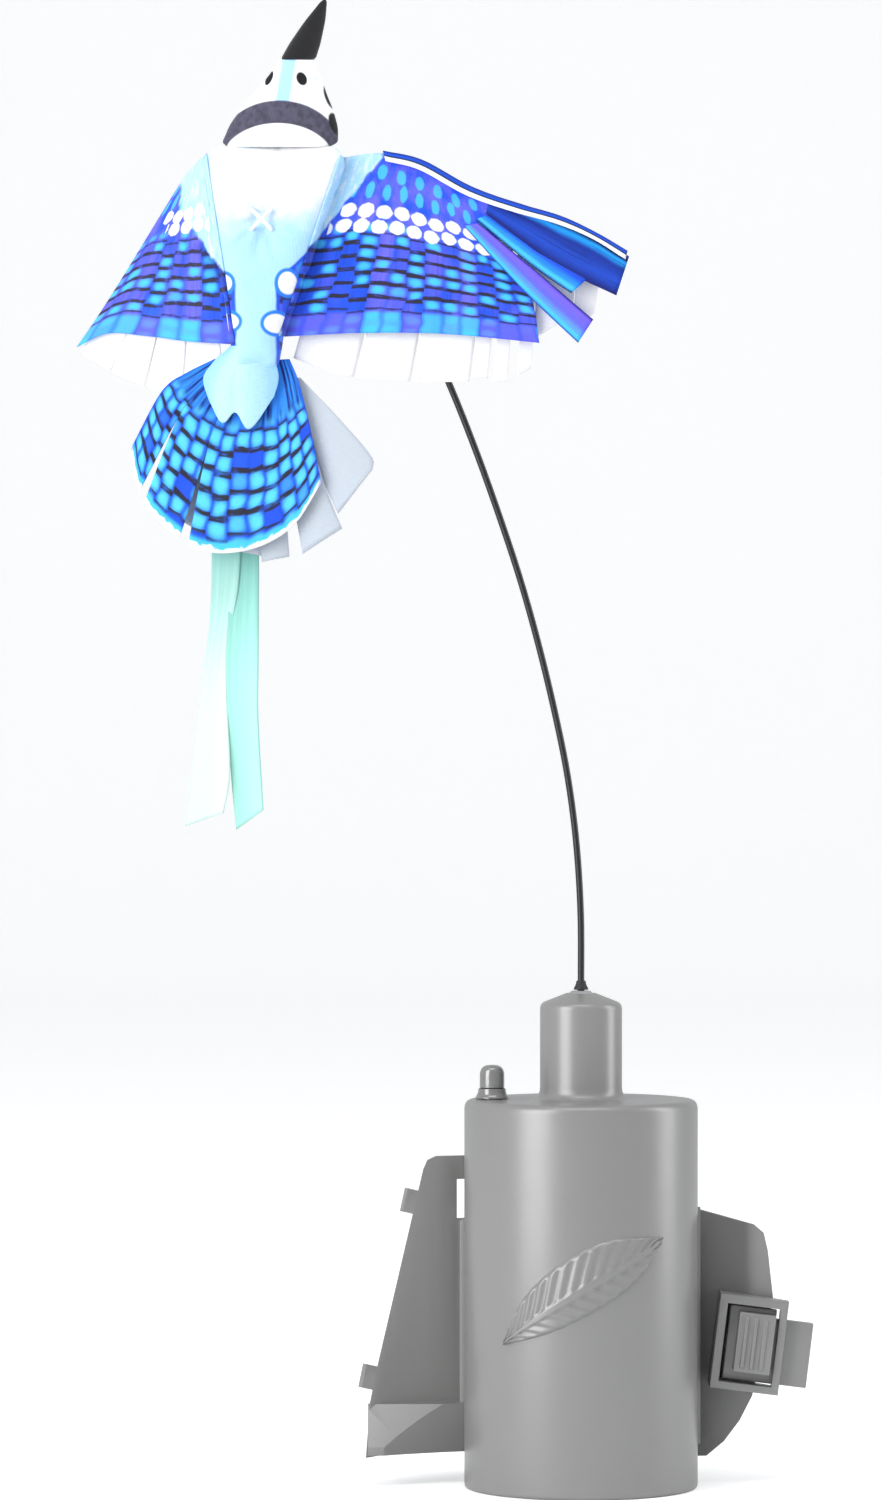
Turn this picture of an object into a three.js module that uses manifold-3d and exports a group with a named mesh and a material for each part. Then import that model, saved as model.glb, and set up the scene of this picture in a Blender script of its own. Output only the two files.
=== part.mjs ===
// Motion wing decoy: a battery tower turns a bent spring-steel whip, and a printed fabric bird
// flutters at the end of it. Millimetres, +Z up, origin under the tower on the ground plane.
// The front faces -Y and the latch side is +X.
import * as THREE from 'three';
import { mergeVertices } from 'three/addons/utils/BufferGeometryUtils.js';
import Module from 'manifold-3d';

const wasm = await Module();
wasm.setup();

// ---- driving dimensions -------------------------------------------------------------------
const GAP = 0.3; // between pieces that touch
const RUN_GAP = 0.2; // between pieces that turn or slide on each other
const TOWER_R = 35;
const WALL = 2.4;
const NECK_R = 12.3;
const NECK_H = 27.7; // straight part above the shoulder
const NECK_WALL = 3.7;
const CAP_H = 4.2; // shallow cone on top of the neck
const DECK_T = 2;
const LID_T = 2.4;
const LID_RING = 5.4;
const CELL_R = 7.25;
const CELL_L = 50;
const CELL_SPACING = 1.3; // between neighbouring cells
const CONTACT_PLATE_T = 1.2;
const CONTACT_SPRING_H = 4.4;
const MOTOR_R = 12;
const MOTOR_L = 22;
const GEARBOX_L = 10;
const MOTOR_CLEARANCE = 1.9; // from the upper contact plate to the motor
const GEAR_MODULE = 0.7;
const WHEEL_TEETH = 36;
const PINION_TEETH = 12;
const GEAR_T = 5;
const GEAR_LIFT = 1.4; // from the deck to the gears
const GEAR_HEADROOM = 5.7; // from the gears to the underside of the tower's top
const PINION_BORE = 1.7;
const SPINDLE_R = 3;
const CHUCK_R = 3.8;
const WIRE_R = 1;
const BUTTON_INSET = 8.3; // from the tower's side to the button's centre
const BUTTON_R = 3.2;
const BUTTON_TRAVEL = 1.5;
const SADDLE_T = 3;
const DOCK_PROUD = 3.2;
const SADDLE_BOW_R = 120; // the flanges follow one wide arc that is hollow towards the front
const SADDLE_BOW_INSET = 11; // from the tower's back to the bow's furthest point
const LATCH_TRAVEL = 3.5;
const LATCH_LEAN = THREE.MathUtils.degToRad(7);
const BIRD_Y = -14; // middle of the padded body
const BODY_T = 12;
const WING_Y = -12; // middle of the printed wing layer
const LINING_Y = -9.4; // middle of the white lining layer
const CLOTH_T = 1.2;
const SPAR_R = 0.5;
const LEFT_SWEEP = 1.45; // how far the left wing trails back for each step out from its root
const BIRD_LEAN = THREE.MathUtils.degToRad(12.6);

const CELL_PITCH = 2 * CELL_R + CELL_SPACING;
const plateZ = LID_T + LID_RING + 1;
const cellZ = plateZ + CONTACT_PLATE_T + CONTACT_SPRING_H;
const cellTop = cellZ + CELL_L;
const motorZ = cellTop + GAP + CONTACT_PLATE_T + MOTOR_CLEARANCE;
const DECK_Z = motorZ + MOTOR_L + GEARBOX_L;
const DECK_TOP = DECK_Z + DECK_T;
const gearZ = DECK_TOP + GEAR_LIFT;
const TOP_INSIDE = gearZ + GEAR_T + GEAR_HEADROOM;
const TOWER_H = TOP_INSIDE + WALL;
const NECK_TOP = TOWER_H + NECK_H;
const NECK_TIP = NECK_TOP + CAP_H;
const BUTTON_X = BUTTON_INSET - TOWER_R;
const SADDLE_BOW_Y = TOWER_R - SADDLE_BOW_INSET - SADDLE_BOW_R;
const TOWER_BORE = TOWER_R - WALL;
const SADDLE_R = TOWER_R + GAP;
const WHEEL_R = GEAR_MODULE * WHEEL_TEETH / 2;
const PINION_R = GEAR_MODULE * PINION_TEETH / 2;
const MOTOR_X = WHEEL_R + PINION_R;
const NECK_BORE = NECK_R - NECK_WALL;

// ---- finishes -----------------------------------------------------------------------------
const finish = (color, roughness, metalness = 0) =>
  new THREE.MeshStandardMaterial({ color, roughness, metalness });
const greyPlastic = finish(0x969593, 0.5);
const darkPlastic = finish(0x2b2b2d, 0.55);
const blackRubber = finish(0x1c1c1e, 0.8);
const greyRubber = finish(0x8b8a88, 0.35);
const whiteNylon = finish(0xe9e6dc, 0.5);
const steel = finish(0xb9bcc0, 0.3, 1);
const blackWire = finish(0x0d0d0e, 0.35, 0.6);
const brass = finish(0xb5913f, 0.35, 1);
const cellJacket = finish(0x23352b, 0.35);
const boardGreen = finish(0x1c5a35, 0.5);
const bluePrint = finish(0x3358d8, 0.8);
const whiteCloth = finish(0xf1f1f3, 0.85);
const blackCloth = finish(0x111114, 0.85);
const mintSatin = finish(0x8fd9c8, 0.4);

// ---- solids -------------------------------------------------------------------------------
function solidOf(geometry) {
  const bare = geometry.index ? geometry.toNonIndexed() : geometry.clone();
  bare.deleteAttribute('normal');
  bare.deleteAttribute('uv');
  const merged = mergeVertices(bare, 1e-4);
  const mesh = new wasm.Mesh({
    numProp: 3,
    vertProperties: new Float32Array(merged.attributes.position.array),
    triVerts: new Uint32Array(merged.index.array),
  });
  return new wasm.Manifold(mesh);
}

function geometryOf(solid) {
  const mesh = solid.getMesh();
  const geometry = new THREE.BufferGeometry();
  geometry.setAttribute('position', new THREE.BufferAttribute(mesh.vertProperties, 3));
  geometry.setIndex(new THREE.BufferAttribute(mesh.triVerts, 1));
  geometry.computeVertexNormals();
  return geometry;
}

const join = (...geometries) =>
  geometryOf(geometries.map(solidOf).reduce((all, next) => all.add(next)));

const cut = (geometry, ...tools) =>
  geometryOf(tools.map(solidOf).reduce((left, tool) => left.subtract(tool), solidOf(geometry)));

const common = (first, second) => geometryOf(solidOf(first).intersect(solidOf(second)));

function block(x0, x1, y0, y1, z0, z1) {
  const geometry = new THREE.BoxGeometry(x1 - x0, y1 - y0, z1 - z0);
  return geometry.translate((x0 + x1) / 2, (y0 + y1) / 2, (z0 + z1) / 2);
}

function post(radius, z0, z1, x = 0, y = 0, sides = 24) {
  const geometry = new THREE.CylinderGeometry(radius, radius, z1 - z0, sides);
  return geometry.rotateX(Math.PI / 2).translate(x, y, (z0 + z1) / 2);
}

// A turned piece about Z from [radius, z] pairs that close on themselves or end on the axis.
function turned(profile, sides = 32) {
  const points = profile.map(([r, z]) => new THREE.Vector2(r, z));
  return new THREE.LatheGeometry(points, sides).rotateX(Math.PI / 2);
}

const ring = (inner, outer, z0, z1, sides = 32) =>
  turned([[inner, z0], [outer, z0], [outer, z1], [inner, z1], [inner, z0]], sides);

// An outline in X and Z, given a thickness in Y.
function slab(outline, y0, y1) {
  const shape = new THREE.Shape(outline.map(([x, z]) => new THREE.Vector2(x, z)));
  const geometry = new THREE.ExtrudeGeometry(shape, { depth: y1 - y0, bevelEnabled: false });
  return geometry.rotateX(Math.PI / 2).translate(0, y1, 0);
}

function tube(points, radius, steps, sides = 8) {
  const path = new THREE.CatmullRomCurve3(points.map((p) => new THREE.Vector3(...p)));
  const section = new THREE.Shape();
  for (let i = 0; i < sides; i += 1) {
    const angle = i * 2 * Math.PI / sides;
    const corner = [radius * Math.cos(angle), radius * Math.sin(angle)];
    if (i === 0) section.moveTo(...corner);
    else section.lineTo(...corner);
  }
  section.closePath();
  return new THREE.ExtrudeGeometry(section, { steps, extrudePath: path, bevelEnabled: false });
}

const parts = new THREE.Group();

function put(name, geometry, material, parent = parts) {
  const mesh = new THREE.Mesh(geometry, material);
  mesh.name = name;
  parent.add(mesh);
  return mesh;
}

// ---- tower --------------------------------------------------------------------------------
const deckBosses = [90, 210, 330].map((degrees) => {
  const angle = THREE.MathUtils.degToRad(degrees);
  const reach = TOWER_BORE - 4.6;
  return [reach * Math.cos(angle), reach * Math.sin(angle)];
});
const saddleScrews = [[58, 22], [122, 22], [58, 78], [122, 78]];

// A cylinder that points away from the tower's axis.
function spoke(radius, from, to, degrees, z, sides = 16) {
  const angle = THREE.MathUtils.degToRad(degrees);
  const geometry = new THREE.CylinderGeometry(radius, radius, to - from, sides);
  geometry.rotateZ(-Math.PI / 2).translate((from + to) / 2, 0, 0);
  return geometry.rotateZ(angle).translate(0, 0, z);
}

function towerShell() {
  const shoulder = TOWER_H - 0.7;
  const shell = turned([
    [TOWER_BORE, 0], [TOWER_R - 1.3, 0], [TOWER_R, 1.5],
    [TOWER_R, TOWER_H - 3], [TOWER_R - 0.8, TOWER_H - 1.1], [TOWER_R - 2.8, shoulder + 0.7],
    [NECK_R + 3.4, TOWER_H], [NECK_R + 1.2, TOWER_H + 0.8], [NECK_R, TOWER_H + 3],
    [NECK_R, NECK_TOP], [NECK_R - 0.8, NECK_TOP + 1.4], [CHUCK_R + RUN_GAP + 0.2, NECK_TIP],
    [CHUCK_R + RUN_GAP + 0.2, NECK_TOP + 1], [NECK_BORE, NECK_TOP - 1],
    [NECK_BORE, TOP_INSIDE], [TOWER_BORE - 1, TOP_INSIDE], [TOWER_BORE, TOP_INSIDE - 1],
    [TOWER_BORE, 0],
  ], 48);
  const bosses = deckBosses.map(([x, y]) => post(3.2, DECK_TOP + GAP, TOP_INSIDE + 1, x, y, 16));
  const pilots = deckBosses.map(([x, y]) => post(1.3, DECK_TOP - 1, TOP_INSIDE - 1, x, y, 12));
  const screwHoles = saddleScrews.map(([degrees, z]) =>
    spoke(1.3, TOWER_BORE - 2, TOWER_R + 2, degrees, z, 12));
  const buttonHole = post(BUTTON_R + RUN_GAP, TOP_INSIDE - 2, TOWER_H + 2, BUTTON_X, 0, 20);
  return cut(join(shell, ...bosses), ...pilots, ...screwHoles, buttonHole);
}

function baseLid() {
  const rim = TOWER_BORE - RUN_GAP;
  const dish = turned([
    [0, 0], [rim, 0], [rim, LID_T + LID_RING], [rim - 2.2, LID_T + LID_RING], [rim - 2.2, LID_T],
    [0, LID_T],
  ], 40);
  const grips = [-17, 17].map((x) => post(6, -1, 1.3, x, 0, 20));
  return cut(dish, ...grips);
}

function deck() {
  const plate = post(TOWER_BORE - GAP, DECK_Z, DECK_TOP, 0, 0, 40);
  const holes = deckBosses.map(([x, y]) => post(1.4, DECK_Z - 1, DECK_TOP + 1, x, y, 12));
  const bushSeat = post(SPINDLE_R + 3 + GAP, DECK_Z - 1, DECK_TOP + 1, 0, 0, 24);
  const motorSeat = post(PINION_R * 0.6, DECK_Z - 1, DECK_TOP + 1, MOTOR_X, 0, 20);
  const window = block(BUTTON_X - 5.2, BUTTON_X + 4.6, -4.6, 4.6, DECK_Z - 1, DECK_TOP + 1);
  return cut(plate, ...holes, bushSeat, motorSeat, window);
}

// A raised feather that follows the front of the tower.
function featherEmblem() {
  const relief = 0.5;
  const vane = new THREE.Shape();
  vane.moveTo(-26, 48);
  vane.quadraticCurveTo(-10, 53, 8, 62);
  vane.quadraticCurveTo(18, 68, 25, 76);
  vane.quadraticCurveTo(8, 76, -6, 68);
  vane.quadraticCurveTo(-18, 60, -26, 48);
  const outline = vane.getPoints(6).map((p) => [p.x, p.y]);
  const skin = ring(TOWER_R + GAP, TOWER_R + GAP + relief, 40, 80, 48);
  return common(skin, slab(outline, -TOWER_R - 5, -5));
}

function screw(shankR, headR, headH, length) {
  return turned([
    [0, 0], [headR - 0.4, 0], [headR, 0.5], [headR, headH], [shankR, headH], [shankR, length],
    [0, length],
  ], 16);
}

put('tower_shell', towerShell(), greyPlastic);
put('base_lid', baseLid(), greyPlastic);
put('deck', deck(), darkPlastic);
put('feather_emblem', featherEmblem(), greyPlastic);
deckBosses.forEach(([x, y], i) => {
  const piece = screw(1, 2.3, 1.6, 10);
  put(`deck_screw_${i + 1}`, piece, steel).position.set(x, y, DECK_Z - 1.6 - GAP);
});

// ---- drive --------------------------------------------------------------------------------
function gear(teeth, bore, thickness, turn) {
  const pitch = GEAR_MODULE * teeth / 2;
  const outer = pitch + 0.6 * GEAR_MODULE;
  const root = pitch - 0.9 * GEAR_MODULE;
  const step = 2 * Math.PI / teeth;
  const shape = new THREE.Shape();
  const corners = [[root, -0.27], [outer, -0.12], [outer, 0.12], [root, 0.27]];
  for (let tooth = 0; tooth < teeth; tooth += 1) {
    corners.forEach(([radius, share], i) => {
      const angle = turn + (tooth + share) * step;
      const corner = [radius * Math.cos(angle), radius * Math.sin(angle)];
      if (tooth === 0 && i === 0) shape.moveTo(...corner);
      else shape.lineTo(...corner);
    });
  }
  shape.closePath();
  const hole = new THREE.Path();
  hole.absarc(0, 0, bore, 0, 2 * Math.PI, true);
  shape.holes.push(hole);
  return new THREE.ExtrudeGeometry(shape, {
    depth: thickness, bevelEnabled: false, curveSegments: 10,
  });
}

function spindle() {
  const foot = DECK_Z - 3;
  const wireSeat = NECK_TOP - 22;
  const chuckFoot = NECK_TOP + 1.6;
  const top = NECK_TIP + 0.6;
  const bore = WIRE_R + GAP;
  const shaft = turned([
    [0, foot], [SPINDLE_R, foot], [SPINDLE_R, chuckFoot], [CHUCK_R, chuckFoot], [CHUCK_R, top - 0.8],
    [CHUCK_R - 1, top], [bore, top], [bore, wireSeat], [0, wireSeat],
  ], 24);
  return cut(shaft, spoke(0.9, 0, 6, 0, NECK_TOP + 3.2, 10));
}

const gearboxZ = DECK_Z - GEARBOX_L;
put('gearmotor_can', turned([
  [0, motorZ], [MOTOR_R - 3, motorZ], [MOTOR_R - 1, motorZ + 1], [MOTOR_R - 1, gearboxZ - GAP],
  [0, gearboxZ - GAP],
], 28), steel).position.set(MOTOR_X, 0, 0);
put('gearmotor_gearbox', ring(PINION_BORE, MOTOR_R, gearboxZ, DECK_Z - GAP, 28), brass)
  .position.set(MOTOR_X, 0, 0);
put('pinion_shaft', post(PINION_BORE - RUN_GAP, gearboxZ + 1, gearZ + GEAR_T + 1, 0, 0, 16), steel)
  .position.set(MOTOR_X, 0, 0);
put('motor_pinion', gear(PINION_TEETH, PINION_BORE, GEAR_T, Math.PI / PINION_TEETH), brass)
  .position.set(MOTOR_X, 0, gearZ);
put('spindle_wheel', gear(WHEEL_TEETH, SPINDLE_R + GAP, GEAR_T, 0), whiteNylon)
  .position.set(0, 0, gearZ);
put('spindle', spindle(), steel);
put('lower_bush', turned([
  [SPINDLE_R + RUN_GAP, DECK_Z], [SPINDLE_R + 3, DECK_Z], [SPINDLE_R + 3, DECK_TOP + 0.6],
  [SPINDLE_R + RUN_GAP, DECK_TOP + 0.6], [SPINDLE_R + RUN_GAP, DECK_Z],
], 24), brass);
put('upper_bush', ring(SPINDLE_R + RUN_GAP, NECK_BORE - GAP, NECK_TOP - 9, NECK_TOP - 1.6, 28), brass);
put('chuck_screw', spoke(0.6, WIRE_R + GAP, CHUCK_R - 0.3, 0, NECK_TOP + 3.2, 8), steel);

// ---- power --------------------------------------------------------------------------------
const CONTACT_PLATE_R = CELL_PITCH * 1.33;
const cellSpots = [[-1, -1], [1, -1], [1, 1], [-1, 1]].map(([i, j]) =>
  [i * CELL_PITCH / 2, j * CELL_PITCH / 2]);

function cellCradle() {
  const half = CELL_PITCH / 2 + CELL_R + 1.6;
  const body = block(-half, half, -half, half, cellZ + 4, cellZ + CELL_L - 6);
  return cut(body, ...cellSpots.map(([x, y]) =>
    post(CELL_R + GAP, cellZ, cellZ + CELL_L, x, y, 24)));
}

function cell() {
  return turned([
    [0, 0], [CELL_R - 0.5, 0], [CELL_R, 0.5], [CELL_R, CELL_L - 1.4], [CELL_R - 0.6, CELL_L - 0.8],
    [2.7, CELL_L - 0.8], [2.7, CELL_L], [0, CELL_L],
  ], 24);
}

function coil(footR, topR, height, wireR, turns, steps) {
  const points = [];
  for (let i = 0; i <= turns * 8; i += 1) {
    const share = i / (turns * 8);
    const radius = THREE.MathUtils.lerp(footR, topR, share);
    const angle = share * turns * 2 * Math.PI;
    points.push([radius * Math.cos(angle), radius * Math.sin(angle), share * height]);
  }
  return tube(points, wireR, steps, 5);
}

put('cell_cradle', cellCradle(), darkPlastic);
cellSpots.forEach(([x, y], i) => {
  put(`cell_${i + 1}`, cell(), cellJacket).position.set(x, y, cellZ);
  const spring = coil(4.4, 2.8, 3.1, 0.35, 3, 36);
  put(`contact_spring_${i + 1}`, spring, steel)
    .position.set(x, y, plateZ + CONTACT_PLATE_T + 0.35 + GAP);
});
put('contact_plate_bottom', post(CONTACT_PLATE_R, plateZ, plateZ + CONTACT_PLATE_T, 0, 0, 32), boardGreen);
put('contact_plate_top', post(CONTACT_PLATE_R, cellTop + GAP, cellTop + GAP + CONTACT_PLATE_T, 0, 0,
  32), boardGreen);

function controlBoard() {
  const y = 8.6 - TOWER_BORE;
  const z = DECK_Z - 31;
  const sheet = block(-19, 13, y, y + 1.6, z, z + 27);
  const chip = block(-9, 1, y + 1.4, y + 3.4, z + 8, z + 18);
  const capacitor = post(2.5, z + 1.5, z + 6.5, -13, y + 3.6, 14);
  const plug = block(3, 10, y + 1.4, y + 6, z + 2, z + 8);
  return join(sheet, chip, capacitor, plug);
}
put('control_board', controlBoard(), boardGreen);

// ---- power button -------------------------------------------------------------------------
const switchTop = TOP_INSIDE - 6;
const domeFoot = TOWER_H - 3.4;
put('switch_body', block(BUTTON_X - 4, BUTTON_X + 4, -4, 4, DECK_Z - 5, switchTop), darkPlastic);
put('button_spring', coil(2.4, 2.4, domeFoot - switchTop - 1.4, 0.3, 3, 30), steel)
  .position.set(BUTTON_X, 0, switchTop + 0.7);
put('button_stem', post(1.4, switchTop + BUTTON_TRAVEL + GAP, domeFoot - GAP, BUTTON_X, 0, 14),
  whiteNylon);
put('button_dome', turned([
  [0, domeFoot], [BUTTON_R, domeFoot], [BUTTON_R, TOWER_H + 5.8], [BUTTON_R * 0.92, TOWER_H + 7.2],
  [BUTTON_R * 0.7, TOWER_H + 8.3], [BUTTON_R * 0.38, TOWER_H + 8.9], [0, TOWER_H + 9.1],
], 24), greyRubber).position.set(BUTTON_X, 0, 0);
put('button_collar', turned([
  [BUTTON_R + RUN_GAP, TOWER_H + GAP], [BUTTON_R + 1.3, TOWER_H + GAP], [BUTTON_R + 1, TOWER_H + 1.2],
  [BUTTON_R + 0.6, TOWER_H + 2.6], [BUTTON_R + RUN_GAP, TOWER_H + 3],
  [BUTTON_R + RUN_GAP, TOWER_H + GAP],
], 24), greyRubber).position.set(BUTTON_X, 0, 0);

// ---- saddle -------------------------------------------------------------------------------
// Flange outlines: distance out from the tower's side, and height.
const leftFlange = [
  [29.6, 8], [-7, 11.4], [-7, 98], [8.6, 98], [11.2, 96.8], [12.4, 94], [26.4, 34.4], [28.5, 24],
].map(([out, z]) => [-TOWER_R - out, z]);
const rightFlange = [
  [-7, 6.6], [3.4, 7.2], [8.6, 11.8], [13.3, 18.4], [17, 26], [23.2, 55.3], [21.6, 70],
  [20.4, 75.2], [17.6, 77.6], [12, 79], [1, 81.8], [-7, 83.6],
].map(([out, z]) => [TOWER_R + out, z]);
const bow = (radius) => post(radius, -5, 130, 0, SADDLE_BOW_Y, 180);

function peg(out, z) {
  const x = -TOWER_R - out;
  const y = SADDLE_BOW_Y + Math.sqrt(SADDLE_BOW_R ** 2 - x ** 2) + SADDLE_T / 2;
  const along = Math.atan2(-x, y - SADDLE_BOW_Y);
  const geometry = new THREE.BoxGeometry(6.4, SADDLE_T - 0.8, 7.2);
  return geometry.rotateY(THREE.MathUtils.degToRad(13.5)).rotateZ(along).translate(x, y, z);
}

function saddle() {
  const hoop = ring(SADDLE_R, SADDLE_R + SADDLE_T, 11.5, 83, 64);
  const rearHalf = block(-90, 90, 12, 90, 0, 130);
  const bowShell = cut(bow(SADDLE_BOW_R + SADDLE_T), bow(SADDLE_BOW_R));
  const leftOutline = slab(leftFlange, -20, TOWER_R + 10);
  const left = common(leftOutline, bowShell);
  const right = common(slab(rightFlange, -20, TOWER_R + 10), bowShell);
  const kick = [[7, 24], [-2, 12], [-2, 9.5], [22, 9.5], [22, 24]];
  const foot = new THREE.Shape(kick.map(([y, z]) => new THREE.Vector2(y, z)));
  const ramp = new THREE.ExtrudeGeometry(foot, { depth: TOWER_R + 1, bevelEnabled: false });
  ramp.rotateX(Math.PI / 2).rotateZ(Math.PI / 2).translate(-TOWER_R - 29, 0, 0);
  const footBlock = common(ramp, cut(bow(SADDLE_BOW_R + SADDLE_T), bow(SADDLE_BOW_R - 9)));
  const dock = block(-13, 13, TOWER_R - 2, SADDLE_R + SADDLE_T + DOCK_PROUD, 30, 75);
  const holes = saddleScrews.map(([degrees, z]) =>
    spoke(1.3, SADDLE_R - 2, SADDLE_R + SADDLE_T + 2, degrees, z, 12));
  const clearTower = post(SADDLE_R, -5, 130, 0, 0, 64);
  const slot = block(-TOWER_R - 2.2, 0.2 - TOWER_R, -5, TOWER_R, 79, 91);
  return cut(join(common(hoop, rearHalf), left, right, footBlock, dock, peg(15.4, 84.4),
    peg(28, 32)), clearTower, slot, ...holes);
}

put('saddle', saddle(), greyPlastic);
saddleScrews.forEach(([degrees, z], i) => {
  const length = SADDLE_T + WALL + 4;
  const piece = screw(1, 2.5, 1.6, length).rotateY(-Math.PI / 2);
  piece.translate(SADDLE_R + SADDLE_T + 1.6 + GAP, 0, 0);
  piece.rotateZ(THREE.MathUtils.degToRad(degrees)).translate(0, 0, z);
  put(`saddle_screw_${i + 1}`, piece, steel);
});

// ---- slide latch --------------------------------------------------------------------------
const latch = new THREE.Group();
latch.position.set(TOWER_R + 16.2, 1.6, 43);
latch.rotation.y = LATCH_LEAN;
parts.add(latch);

const PAD_LEFT = -4.6;
const PLATE_LEFT = -7.3; // the slider's plate closes the window behind the thumb pad

function latchBezel() {
  const frame = cut(
    block(-10.8, 9.8, 0, 20, -14.8, 13.6),
    block(PAD_LEFT - LATCH_TRAVEL - GAP, 7.6, -1, 21, -12.6, 11),
    block(5, 12, 3.9, 7.7, -12.4, 8),
    block(PLATE_LEFT - LATCH_TRAVEL - 0.7, -8, 3.9, 6.9, -12.4, 10.8),
  );
  const seat = post(SADDLE_BOW_R - GAP, -60, 60, -latch.position.x,
    SADDLE_BOW_Y - latch.position.y, 180);
  return common(frame, seat.rotateY(-LATCH_LEAN));
}

function latchPad() {
  const half = 9;
  const pad = block(PAD_LEFT, 6.4, -2.4, 3.9, -half, half);
  const ribs = [-2.2, 0.6, 3.4].map((x) =>
    block(x - 0.6, x + 0.6, -3.3, 0, -half + 1.4, half - 1.4));
  return join(pad, ...ribs);
}

put('latch_bezel', latchBezel(), greyPlastic, latch);
put('latch_pad', latchPad(), greyPlastic, latch);
put('latch_bolt', join(
  block(PAD_LEFT + 1, 18.2, 3.9 + GAP, 7.4, -12, 7.6),
  block(PLATE_LEFT, 6.8, 3.9 + GAP, 6.6, -12, 10.4),
), greyPlastic, latch);

// ---- whip ---------------------------------------------------------------------------------
// The wire rises from the neck's tip and bends over to a loop that the bird is sewn to.
const loopR = 3.6;
const loopX = -95.7;
const loopY = -5.4;
const loopZ = NECK_TIP + 230.3;

function whipWire() {
  const foot = [[0, 0, NECK_TOP - 21], [0, 0, NECK_TOP - 8], [0, 0, NECK_TIP + 3]];
  const rise = [
    [-0.1, 0, 23.8], [-1.4, 0, 44.8], [-4, 0, 64.8], [-7.8, 0, 83.8], [-12.6, 0, 103.8],
    [-18.2, 0, 123.8], [-24.8, 0, 143.8], [-32, 0, 163.8], [-39.6, 0, 182.8], [-45.6, -0.6, 195.3],
    [-53.4, -1.8, 206.8], [-63.4, -3.4, 216.8], [-75, -4.8, 223.8],
  ].map(([x, y, up]) => [x, y, NECK_TIP + up]);
  const loop = [];
  for (let i = 0; i <= 9; i += 1) {
    const angle = THREE.MathUtils.degToRad(-70 + i * 34);
    const y = loopY + 1.3 - 2.6 * i / 9;
    loop.push([loopX + loopR * Math.cos(angle), y, loopZ + loopR * Math.sin(angle)]);
  }
  return tube([...foot, ...rise, [-86, loopY + 1.3, loopZ - 4.3], ...loop], WIRE_R, 84);
}

put('whip_wire', whipWire(), blackWire);
put('whip_ferrule', turned([
  [WIRE_R + GAP, NECK_TIP + 0.9], [2.2, NECK_TIP + 0.9],
  [1.5, NECK_TIP + 3.2], [WIRE_R + GAP, NECK_TIP + 3.6],
  [WIRE_R + GAP, NECK_TIP + 0.9],
], 16), blackRubber);

// ---- bird ---------------------------------------------------------------------------------
// Outlines are in X and Z from the cross stitch, which is sewn round the whip's loop.
// The wings meet the body along two slanted root lines.
const bird = new THREE.Group();
bird.position.set(loopX, 0, loopZ);
parts.add(bird);

const rootGap = 0.6;
const leftRoot = [[-17.7, 19], [-9.9, -33.5]];
const rightRoot = [[26.1, 19.5], [7.7, -34.5]];

function birdBody() {
  const bevel = 2.6;
  const outline = [
    [leftRoot[0][0] + rootGap, 18.5], [leftRoot[1][0] + rootGap, -32.5], [-7.3, -44.5], [5.1, -44.5],
    [rightRoot[1][0] - rootGap, -32.5], [rightRoot[0][0] - rootGap, 18.5], [21.7, 21.9], [-12.9, 21.9],
  ];
  const shape = new THREE.Shape(outline.map(([x, z]) => new THREE.Vector2(x, z)));
  const geometry = new THREE.ExtrudeGeometry(shape, {
    depth: BODY_T - 2 * bevel, bevelThickness: bevel, bevelSize: bevel, bevelOffset: -bevel,
    bevelSegments: 2,
  });
  return geometry.rotateX(Math.PI / 2).translate(0, BIRD_Y + BODY_T / 2 - bevel, 0);
}

// Leans a piece towards +X with height and keeps its foot level.
function lean(geometry, angle) {
  const shear = new THREE.Matrix4();
  shear.elements[8] = Math.tan(angle);
  return geometry.applyMatrix4(shear);
}

function birdHead() {
  const geometry = turned([
    [0, 0], [14, 0], [17.2, 1.6], [16, 6], [12, 13.5], [7.4, 21], [5.2, 25.4], [0, 25.4],
  ], 28);
  geometry.scale(1, 0.36, 1);
  return lean(geometry, BIRD_LEAN).translate(5.5, BIRD_Y, 22.7);
}

function birdBeak() {
  const geometry = turned([[0, 0], [5, 0], [4.4, 4], [2.8, 11], [0.9, 17], [0, 18]], 20);
  geometry.scale(1, 0.5, 1);
  return lean(geometry, BIRD_LEAN * 1.9).translate(11.3, BIRD_Y, 48.4);
}

function stitchCross() {
  const y = BIRD_Y - BODY_T / 2 - 0.5;
  const arms = [45, -45].map((degrees) => {
    const arm = new THREE.BoxGeometry(8.4, 0.7, 1.1);
    arm.rotateY(THREE.MathUtils.degToRad(degrees));
    return arm.translate(0.4, y - 0.15, 0);
  });
  return join(...arms);
}

put('bird_body', birdBody(), whiteCloth, bird);
put('bird_head', birdHead(), whiteCloth, bird);
put('bird_beak', birdBeak(), blackCloth, bird);
put('stitch_cross', stitchCross(), whiteCloth, bird);

const half = CLOTH_T / 2;
const cloth = (outline, y) => slab(outline, y - half, y + half);

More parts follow.
